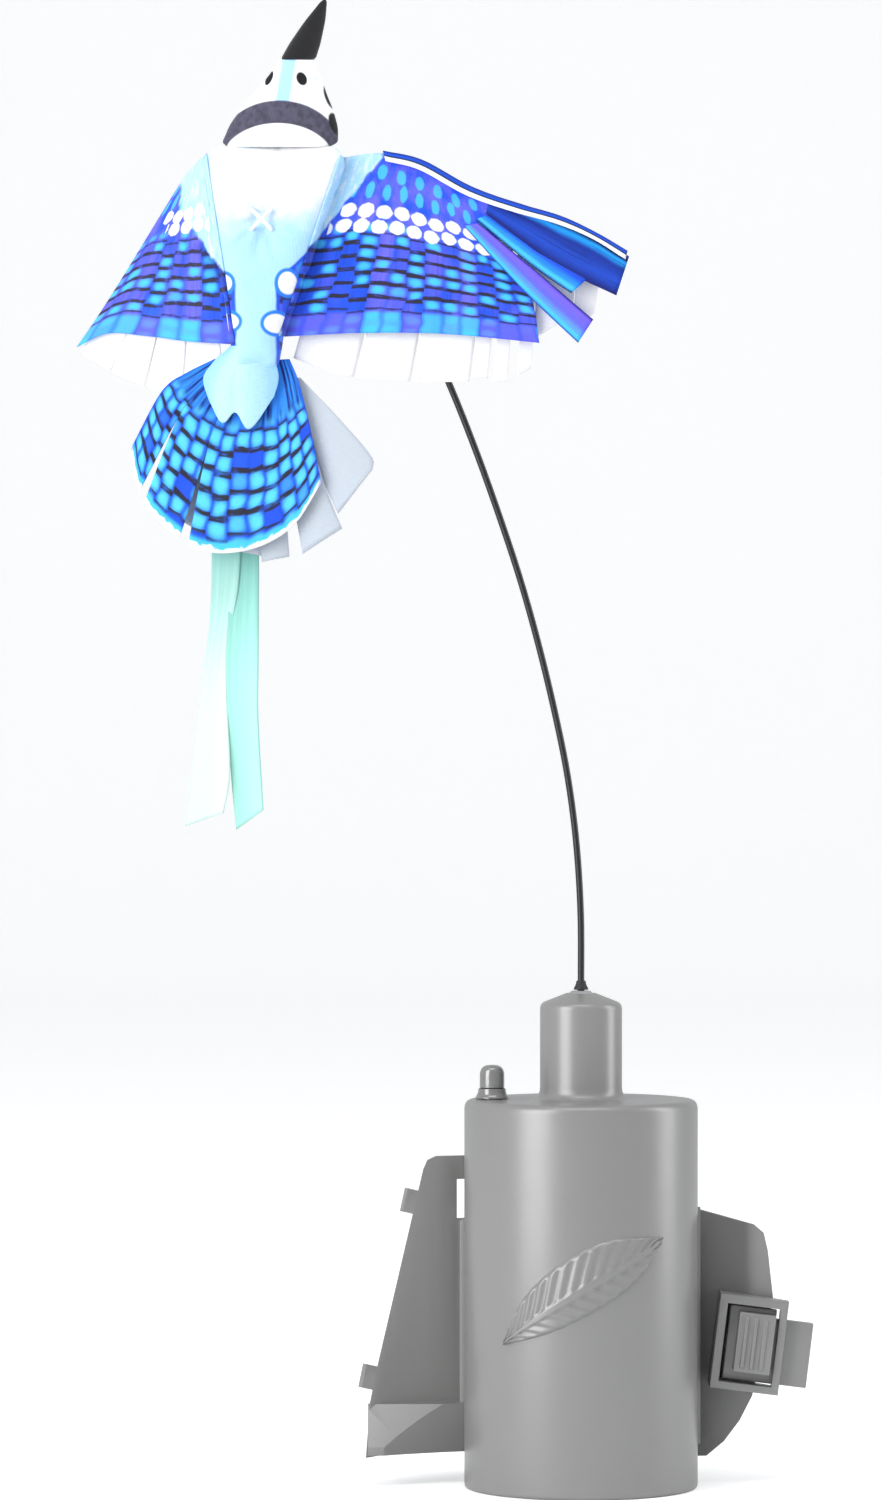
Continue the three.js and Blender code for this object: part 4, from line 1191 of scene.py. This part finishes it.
def tube_piece(name, points, radius, material, body, resolution=8, steps=8):
    """A round wire through points, in metres."""
    data = bpy.data.curves.new(name, "CURVE")
    data.dimensions = "3D"
    line = flowing(points, steps)
    spline = data.splines.new("POLY")
    spline.points.add(len(line) - 1)
    for point, spot in zip(spline.points, line):
        point.co = (*spot, 1.0)
    data.bevel_depth = radius
    data.bevel_resolution = resolution
    data.use_fill_caps = True
    curve = bpy.data.objects.new(name + "_path", data)
    bpy.context.collection.objects.link(curve)
    mesh = bpy.data.meshes.new_from_object(curve.evaluated_get(bpy.context.evaluated_depsgraph_get()))
    bm = bmesh.new()
    bm.from_mesh(mesh)
    bpy.data.objects.remove(curve)
    bpy.data.meshes.remove(mesh)
    return finished(name, bm, material, body, sharp=math.radians(50))


class DECOY_OT_whip(bpy.types.Operator):
    """Bent black whip with its loop, and the flared ferrule where it leaves the neck"""

    bl_idname = "decoy.whip"
    bl_label = "Whip"

    def execute(self, context):
        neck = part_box("tower_shell")[1][2] / MM
        rise = [
            (-0.1, 0, 23.8), (-1.4, 0, 44.8), (-4, 0, 64.8), (-7.8, 0, 83.8), (-12.6, 0, 103.8),
            (-18.2, 0, 123.8), (-24.8, 0, 143.8), (-32, 0, 163.8), (-39.6, 0, 182.8),
            (-45.6, -0.6, 195.3), (-53.4, -1.8, 206.8), (-63.4, -3.4, 216.8), (-75, -4.8, 223.8),
        ]
        loop_r, loop_y = 3.6, -5.4
        points = [(0, 0, neck - 25.2), (0, 0, neck - 12.2), (0, 0, neck + 3)]
        points += [(x, y, neck + up) for x, y, up in rise]
        loop = STITCH / MM
        points.append((-86, loop_y + 1.3, loop.z - 4.3))
        for i in range(10):
            turn = math.radians(-70 + i * 34)
            y = loop_y + 1.3 - 2.6 * i / 9
            points.append((loop.x + loop_r * math.cos(turn), y, loop.z + loop_r * math.sin(turn)))
        points = [Vector(p) * MM for p in points]
        wire = tube_piece("whip_rod", points, 0.001, "Wire coat", "whip")
        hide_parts("whip_wire")
        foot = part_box("whip_ferrule")[0][2] / MM
        bm = bmesh.new()
        turned(bm, rounded([
            (1.3, foot), (2.2, foot, 0.2), (2.15, foot + 0.5), (1.55, foot + 1.6, 0.6),
            (1.4, foot + 2.6, 0.1),
            (1.3, foot + 2.7), (1.3, foot),
        ]), 48)
        ferrule = finished("whip_boot", bm, "Black rubber", "whip")
        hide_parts("whip_ferrule")
        return {"FINISHED"}


class DECOY_OT_body(bpy.types.Operator):
    """Filled fabric body with its cross stitch"""

    bl_idname = "decoy.body"
    bl_label = "Body"

    def execute(self, context):
        slack = 1.6
        outline = [
            (-17.4, 18.5), (-9.6, -32.5), (-7.6, -44.2), (5.4, -44.2), (7.4, -32.5), (25.8, 18.5),
            (22, 22.5), (-13.2, 22.5),
        ]
        bm = sewn_slab(outline, BODY_FRONT + slack, BODY_BACK - slack, 2.4)

        def pinned(spot):
            near = math.hypot(spot.x - 0.4, spot.z)
            if near < 2.6:
                return 1.0
            rim = abs(spot.y - BODY_MID)
            return 0.25 if rim < 1.2 else 0.0

        bm = inflated("body_form", bm, 1.1, 2.0, pinned)
        bmesh.ops.smooth_vert(bm, verts=bm.verts, factor=0.5, use_axis_x=True, use_axis_y=True,
                              use_axis_z=True)
        for vert in bm.verts:
            side = -1 if vert.co.y < BODY_MID else 1
            pull = puckered(vert.co, (0.4, 0), 17.0, 0.85 if side < 0 else 0.5, 9)
            ease = min(1.0, abs(vert.co.y - BODY_MID) / 3)
            crease = noise.noise(Vector((vert.co.x * 0.12, 7.0, vert.co.z * 0.12)))
            vert.co.y += side * ease * (pull + 0.35 * crease)
            vert.co.y = max(vert.co.y, BODY_FRONT - 0.6)
        bmesh.ops.scale(bm, vec=(MM, MM, MM), verts=bm.verts)
        bmesh.ops.translate(bm, verts=bm.verts, vec=STITCH)
        piece = finished("body_pad", bm, "Body print", "bird", sharp=math.radians(80))
        fine = piece.modifiers.new("Fine", "SUBSURF")
        fine.levels = fine.render_levels = 1
        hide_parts("bird_body")
        self.stitches()
        return {"FINISHED"}

    def stitches(self):
        """Two thick threads that cross, each drawn into the cloth at its ends."""
        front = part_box("stitch_cross")[0][1] / MM
        for k, (lean, lift) in enumerate(((45, 0.0), (-45, 0.35))):
            turn = math.radians(lean)
            points = []
            for t in (-1.0, -0.8, -0.35, 0.0, 0.35, 0.8, 1.0):
                reach = 4.3 * t
                sink = 0.9 + lift - 1.6 * t ** 4 * 1.2
                spot = Vector((0.4 + reach * math.cos(turn), front + 1.2 - sink, reach * math.sin(turn)))
                points.append(STITCH + spot * MM)
            strand = tube_piece(
                f"stitch_{k + 1}", points, 0.00055, "Thread", "bird", 4, 4
            )
        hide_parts("stitch_cross")


class DECOY_OT_head(bpy.types.Operator):
    """Leaning hood with its printed face, and the black beak"""

    bl_idname = "decoy.head"
    bl_label = "Head"

    def execute(self, context):
        bm = bmesh.new()
        turned(bm, rounded([
            (0, -1.0), (14.4, -1.0), (17.3, 0.6, 1.0), (16.3, 5.5, 1.5), (12.2, 13.3, 3.0),
            (7.5, 20.8, 2.0),
            (5.3, 25.2, 0.6), (0, 25.6),
        ], 6), 64)
        bmesh.ops.subdivide_edges(
            bm, edges=[e for e in bm.edges if e.calc_length() > 2.5 * MM], cuts=2, use_grid_fill=True
        )
        self.place(bm, 0.36, 0.2235, (5.5, 22.7), 0.35)
        head = finished("head_pad", bm, "Head print", "bird", sharp=math.radians(80))
        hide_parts("bird_head")
        bm = bmesh.new()
        turned(bm, rounded([
            (0, -0.6), (4.6, -0.6), (5.2, 0.2, 0.4), (4.7, 4, 1.0), (3.1, 11, 2.0),
            (1.0, 16.8, 0.6), (0, 17.9),
        ], 6), 48)
        self.place(bm, 0.5, 0.443, (11.3, 48.4), 0.12)
        beak = finished("beak_cone", bm, "Black felt", "bird", sharp=math.radians(80))
        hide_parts("bird_beak")
        return {"FINISHED"}

    def place(self, bm, flat, lean, foot, dents):
        """Flattens a turned form, leans it towards +X and dents its cloth a little."""
        for vert in bm.verts:
            spot = vert.co / MM
            push = dents * noise.noise(spot * 0.13 + Vector((3, 1, 7)))
            out = Vector((spot.x, spot.y, 0))
            out = out.normalized() * push if out.length > 0 else out
            spot += out
            vert.co = STITCH + Vector((spot.x + spot.z * lean + foot[0], spot.y * flat + BODY_MID,
                                       spot.z + foot[1])) * MM


# The cuts of the wings and tail lie between four lines, in X and Z from the stitch.
def cut(top, foot, left, right):
    lift = lambda line: [Vector((x, 0, z)) for x, z in line]
    return Patch(lift(top), lift(foot), lift(left), lift(right))


def ripple(u, v, folds, depth):
    """Soft folds that run along the feathers and deepen towards their ends."""
    return depth * math.sin(u * folds * FULL_TURN) * v


def over_pad():
    """Looks up how far forward the stuffed body lies at a place, in millimetres."""
    pad = bpy.data.objects["body_pad"]
    tree = BVHTree.FromPolygons(
        [v.co for v in pad.data.vertices], [p.vertices for p in pad.data.polygons]
    )

    def face(x, z, y):
        start = STITCH + Vector((x, -60, z)) * MM
        hit = tree.ray_cast(start, Vector((0, 1, 0)), 0.2)[0]
        return y if hit is None else min(y, (hit.y - STITCH.y) / MM - 0.5)

    return face


class DECOY_OT_right_wing(bpy.types.Operator):
    """Right wing: printed panel, long outer feathers, leading edge and white lining"""

    bl_idname = "decoy.right_wing"
    bl_label = "Right wing"

    def execute(self, context):
        thick = context.scene.decoy_cloth.cloth
        root = ((23.6, 19.0), (18.4, 3.5), (12.0, -15.8), (5.6, -34.4))
        panel = cut(
            ((23.6, 19.0), (37.8, 20.2), (50, 14.8), (62.4, 8.6), (70, 4)),
            ((5.6, -34.4), (25, -33.4), (44, -33.2), (60, -33.9), (83, -36.2)),
            root, ((70, 4), (76, -11), (81, -24), (83, -36.2)),
        )
        above = over_pad()

        def front(u, v):
            spot = panel.at(u, v)
            swell = 1.0 * math.sin(math.pi * u) * math.sin(math.pi * v)
            y = PRINT_Y - 0.2 - swell + ripple(u, v, 6.5, 0.3)
            return spot.x, above(spot.x, spot.z, y), spot.z

        bm = cut_mesh()
        add_cloth(bm, front, 110, 64)
        sheet_piece("wing_right_cloth", bm, "Right wing print",
                    ("bird", "wing_right"), thick, ["wing_right_print"])

        finishes = ["Violet feather", "Blue feather", "Navy feather", "Leading edge"]
        feathers = (
            (1.35, (
                (60.6, -1.5), (64.8, -0.6)), ((94.5, -36.3), (99.0, -29.4)),
                ((60.6, -1.5), (70, -12), (82, -24.5), (94.5, -36.3)),
                ((64.8, -0.6), (75.6, -9.5), (88, -20), (99.0, -29.4))),
            (0.75, (
                (64, 0.5), (69, 2.4)), ((92.5, -21.5), (97.5, -17.0)),
                ((64, 0.5), (73, -7), (83, -15), (92.5, -21.5)),
                ((69, 2.4), (78, -4), (88, -11), (97.5, -17.0))),
            (1.1, (
                (67, 2.2), (68.5, 8)), ((105.9, -22.2), (109.7, -10.6)),
                ((67, 2.2), (78, -6), (90, -14.5), (105.9, -22.2)),
                ((68.5, 8), (84, 3), (97, -2.4), (109.7, -10.6))),
        )
        bm = cut_mesh()
        for k, (lift, top, foot, left, right) in enumerate(feathers):
            cloth = cut(top, foot, left, right)

            def feather(u, v, cloth=cloth, lift=lift):
                spot = cloth.at(u, v)
                crown = 0.6 * math.sin(math.pi * u) * v
                return spot.x, PRINT_Y - lift - crown - 0.8 * v * v, spot.z

            add_cloth(bm, feather, 16, 36, finish=k)

        edge = cut(
            ((36.4, 20.9), (37.2, 17.9)), ((109.2, -9.0), (108.6, -11.4)),
            ((36.4, 20.9), (48, 18.2), (62.4, 10.4), (76, 5.4), (89.4, 1.4), (100, -3.6), (109.2, -9.0)),
            ((37.2, 17.9), (47.4, 15.2), (61.4, 7.6), (75, 2.8), (88.6, -1.0), (99, -5.4), (108.6, -11.4)),
        )

        def leading(u, v):
            spot = edge.at(u, v)
            return spot.x, PRINT_Y - 1.75 - 0.5 * math.sin(math.pi * u) - 0.7 * v, spot.z

        add_cloth(bm, leading, 8, 70, finish=3)
        sheet_piece("wing_right_feathers", bm, finishes,
                    "wing_right", thick)

        lining = cut(
            ((27.6, 18.6), (38.7, 19.0), (55.9, 11.1), (76.9, 2.6), (96, -3.2)),
            ((9.2, -40.4), (24, -45.6), (44, -47.4), (62, -47.2), (78, -46.0), (99.6, -27)),
            ((27.6, 18.6), (9.2, -40.4)), ((96, -3.2), (101, -14), (99.6, -27)),
        )
        strips = (
            (0.0, 0.2, 1.0), (0.2, 0.37, 1.0), (0.37, 0.55, 1.02), (0.55, 0.6, 0.98), (0.615, 0.66, 1.0),
            (0.69, 0.74, 0.98), (0.74, 0.9, 0.8), (0.9, 1.0, 1.0),
        )
        bm = cut_mesh()
        for k, (low, high, reach) in enumerate(strips):
            def strip(u, v, k=k, low=low, high=high, reach=reach):
                middle = (low + high) / 2
                narrow = 1 - 0.05 * v ** 3
                spot = lining.at(middle + (u - middle) * narrow, v * reach)
                tilt = (u - low) / (high - low) - 0.5
                y = LINING_Y + 0.9 * tilt * v + 0.25 * (k % 2) + 0.5 * math.sin(v * 3 + k)
                return spot.x, y, spot.z

            add_cloth(bm, strip, 12, 30, spans=((low, high), (0.0, 1.0)))
        sheet_piece("wing_right_backing", bm, "White cloth",
                    ("bird", "wing_right"), thick, ["wing_right_lining"])
        return {"FINISHED"}


class DECOY_OT_left_wing(bpy.types.Operator):
    """Left wing: printed panel and white lining, trailing back from the root"""

    bl_idname = "decoy.left_wing"
    bl_label = "Left wing"

    def execute(self, context):
        thick = context.scene.decoy_cloth.cloth
        longer = math.hypot(1, LEFT_SWEEP)
        panel = cut(
            ((-16.0, 20.2), (-22.5, 14.8)),
            ((-7.6, -36.8), (-22, -34.6), (-36, -31.6), (-49, -29.6), (-59.0, -32.6)),
            ((-16.0, 20.2), (-13.4, 2), (-10.6, -16), (-7.6, -36.8)),
            ((-22.5, 14.8), (-31, 3.6), (-42.7, -12.2), (-51.4, -23.5), (-59.0, -32.6)),
        )
        above = over_pad()

        def swept(x, y, z):
            out = max(0.0, root_x(LEFT_ROOT, z) - x)
            return x, y + LEFT_SWEEP * out, z

        def front(u, v):
            spot = panel.at(u, v)
            y = PRINT_Y - 0.2 - 0.9 * math.sin(math.pi * u) * v + ripple(u, v, 4, 0.35)
            x, y, z = swept(spot.x, y, spot.z)
            return x, above(x, z, y), z

        bm = cut_mesh()
        add_cloth(bm, front, 64, 64, stretch=longer)
        sheet_piece("wing_left_cloth", bm, "Left wing print",
                    ("bird", "wing_left"), thick, ["wing_left_print"])

        lining = cut(
            ((-19.4, 18.2), (-23, 13.2)),
            ((-11.6, -41), (-22, -46.4), (-30, -48.6), (-41, -44.6), (-48, -41), (-58.6, -34)),
            ((-19.4, 18.2), (-11.6, -41)),
            ((-23, 13.2), (-41.4, -12.8), (-58.6, -34)),
        )
        strips = ((0.0, 0.27, 0.98), (0.27, 0.52, 1.0), (0.52, 0.76, 1.0), (0.76, 1.0, 1.0))
        bm = cut_mesh()
        for k, (low, high, reach) in enumerate(strips):
            def strip(u, v, k=k, low=low, high=high, reach=reach):
                middle = (low + high) / 2
                spot = lining.at(middle + (u - middle) * (1 - 0.05 * v ** 3), v * reach)
                tilt = (u - low) / (high - low) - 0.5
                y = LINING_Y + 1.1 * tilt * v + 0.3 * (k % 2) + 0.4 * math.sin(v * 3 + k)
                return swept(spot.x, y, spot.z)

            add_cloth(bm, strip, 12, 30, longer, spans=((low, high), (0.0, 1.0)))
        sheet_piece("wing_left_backing", bm, "White cloth",
                    ("bird", "wing_left"), thick, ["wing_left_lining"])
        return {"FINISHED"}


class DECOY_OT_tail(bpy.types.Operator):
    """Fan tail with its slits, the lining feathers behind it and the pale covert"""

    bl_idname = "decoy.tail"
    bl_label = "Tail"

    def execute(self, context):
        thick = context.scene.decoy_cloth.cloth
        fan = cut(
            ((-13.8, -41.0), (-3, -41.6), (8.6, -41.0)),
            ((-39.6, -67.2), (-36.6, -82), (-22.5, -96.2), (-6.8, -98.6), (8.6, -91.8), (18.9, -76.6)),
            ((-13.8, -41.0), (-22, -45), (-29.4, -50.4), (-39.6, -67.2)),
            ((8.6, -41.0), (11.4, -48), (15, -62), (18.9, -76.6)),
        )
        groups = ((0.0, 0.19, 0.965), (0.19, 0.4, 0.99), (0.4, 1.0, 1.0))
        bm = cut_mesh()
        for low, high, reach in groups:
            def feathers(u, v, low=low, high=high, reach=reach):
                middle = (low + high) / 2
                gap = 0.018 * max(0.0, (v - 0.5) / 0.5) / ((high - low) / 2)
                spot = fan.at(middle + (u - middle) * (1 - gap), v * reach)
                swell = 1.1 * math.sin(math.pi * u) * v
                return spot.x, PRINT_Y - 0.3 - swell + ripple(u, v, 6.5, 0.25), spot.z

            add_cloth(bm, feathers, max(14, int(90 * (high - low))), 60, spans=((low, high), (0.0, 1.0)))
        sheet_piece("tail_cloth", bm, "Tail print",
                    ("bird", "tail"), thick, ["tail_print"])

        bm = cut_mesh()
        backs = (
            (((6.6, -46), (11.8, -46.4)), ((23.0, -87.0), (33.2, -73.8)),
             ((6.6, -46), (14, -62), (18.5, -77), (23.0, -87.0)),
             ((11.8, -46.4), (24.6, -60), (33.0, -70), (33.2, -73.8)), 0.0),
            (((3.6, -46), (7, -46)), ((12.4, -99.0), (24.2, -91.4)),
             ((3.6, -46), (8, -70), (9.8, -84), (12.4, -99.0)),
             ((7, -46), (15, -66), (19.5, -80), (24.2, -91.4)), 0.45),
            (((0, -46), (4, -46)), ((0.2, -101.4), (8.4, -99.8)),
             ((0, -46), (-1, -80), (0.2, -101.4)),
             ((4, -46), (7, -80), (8.4, -99.8)), 0.9),
            (((-9, -46), (0.5, -46)), ((-13, -97), (0, -99.5)),
             ((-9, -46), (-14, -70), (-13, -97)),
             ((0.5, -46), (0.8, -70), (0, -99.5)), 1.3),
            (((-12, -46), (-8, -46)), ((-29, -86), (-14, -95)),
             ((-12, -46), (-24, -60), (-29, -86)),
             ((-8, -46), (-13, -70), (-14, -95)), 0.9),
        )
        for k, (top, foot, left, right, deep) in enumerate(backs):
            cloth = cut(top, foot, left, right)

            def back(u, v, cloth=cloth, k=k, deep=deep):
                spot = cloth.at(u, v)
                y = LINING_Y + deep - 0.9 * math.sin(math.pi * u) * v + 0.6 * v * math.cos(k * 2.0)
                return spot.x, y, spot.z

            add_cloth(bm, back, 12, 30)
        # The grey of this lining is painted shade on white cloth.
        sheet_piece("tail_backing", bm, "Grey lining",
                    ("bird", "tail"), thick, ["tail_lining"])

        covert = cut(
            ((-9.0, -37.6), (-3.4, -37.2), (2.2, -37.6)),
            ((-15.4, -53.4), (-11.4, -60.2), (-7.4, -57.0), (-3.2, -62.0), (4.0, -52.4)),
            ((-9.0, -37.6), (-14.0, -42.2), (-17.0, -47), (-15.4, -53.4)),
            ((2.2, -37.6), (4.4, -42), (5.4, -47), (4.0, -52.4)),
        )

        def shield(u, v):
            spot = covert.at(u, v)
            tuck = 3.6 * (1 - v) ** 2
            swell = 1.2 * math.sin(math.pi * u) * math.sin(math.pi * v)
            return spot.x, PRINT_Y - 2.6 - tuck - swell, spot.z

        bm = cut_mesh()
        add_cloth(bm, shield, 40, 40)
        sheet_piece("tail_covert", bm, "Tail covert",
                    ("bird", "tail"), thick)
        return {"FINISHED"}


class DECOY_OT_ribbon(bpy.types.Operator):
    """Two satin tails that hang from under the tail"""

    bl_idname = "decoy.ribbon"
    bl_label = "Ribbon"

    def execute(self, context):
        thick = 0.0002
        tails = (
            ("ribbon_left_tail", "Mint pale", "ribbon_left", 0.0,
             ((-14.7, -90.8), (-6.0, -90.8)), ((-22.6, -180.3), (-11.2, -176.2)),
             ((-14.7, -90.8), (-15.3, -116.5), (-17.4, -134.1), (-18.9, -147), (-22.6, -180.3)),
             ((-6.0, -90.8), (-6.8, -108), (-9.4, -124), (-10.3, -140), (-9.3, -163.8), (-11.2, -176.2))),
            # The back tail's darker finish is painted shade.
            ("ribbon_right_tail", "Mint deep", "ribbon_right", 0.55,
             ((-9.6, -90.8), (-0.6, -90.8)), ((-7.6, -181.4), (0.6, -175.4)),
             ((-9.6, -90.8), (-9.9, -114.6), (-10.6, -134.1), (-9.2, -163.8), (-7.6, -181.4)),
             ((-0.6, -90.8), (-0.8, -130), (-0.9, -147), (0.6, -175.4))),
        )
        for name, finish, node, behind, top, foot, left, right in tails:
            strip = cut(top, foot, left, right)

            def hanging(u, v, strip=strip, behind=behind):
                spot = strip.at(u, v)
                sway = 1.1 * math.sin(v * 5.2 + behind * 4) * v
                curl = (1.4 * v + 0.3) * math.sin((u - 0.3) * 2.6 + behind * 3) * 0.7
                return spot.x, -6.6 + behind + sway + curl, spot.z

            bm = cut_mesh()
            add_cloth(bm, hanging, 16, 90)
            sheet_piece(name, bm, finish, ("tail", "ribbon"),
                        thick, [node])
        return {"FINISHED"}


class DECOY_PT_panel(bpy.types.Panel):
    """Lists the decoy's pieces and their settings"""

    bl_idname = "DECOY_PT_panel"
    bl_label = "Wing Decoy"
    bl_space_type = "VIEW_3D"
    bl_region_type = "UI"
    bl_category = "Wing Decoy"

    def draw(self, context):
        scene = context.scene
        for group in (scene.decoy_stage, scene.decoy_plastic, scene.decoy_cloth):
            box = self.layout.box()
            for name in group.__annotations__:
                box.prop(group, name)
        for operator in OPERATORS:
            self.layout.operator(operator.bl_idname)


OPERATORS = (
    DECOY_OT_stage, DECOY_OT_finishes, DECOY_OT_tower, DECOY_OT_button, DECOY_OT_saddle,
    DECOY_OT_whip, DECOY_OT_body, DECOY_OT_head, DECOY_OT_right_wing, DECOY_OT_left_wing,
    DECOY_OT_tail, DECOY_OT_ribbon,
)
SETTINGS = (DecoyStage, DecoyPlastic, DecoyCloth)


def register():
    for kind in (*SETTINGS, *OPERATORS, DECOY_PT_panel):
        bpy.utils.register_class(kind)
    bpy.types.Scene.decoy_stage = PointerProperty(type=DecoyStage)
    bpy.types.Scene.decoy_plastic = PointerProperty(type=DecoyPlastic)
    bpy.types.Scene.decoy_cloth = PointerProperty(type=DecoyCloth)


def unregister():
    del bpy.types.Scene.decoy_stage, bpy.types.Scene.decoy_plastic, bpy.types.Scene.decoy_cloth
    for kind in reversed((*SETTINGS, *OPERATORS, DECOY_PT_panel)):
        bpy.utils.unregister_class(kind)


def main():
    register()
    for operator in OPERATORS:
        group, name = operator.bl_idname.split(".")
        getattr(getattr(bpy.ops, group), name)()


if __name__ == "__main__":
    main()
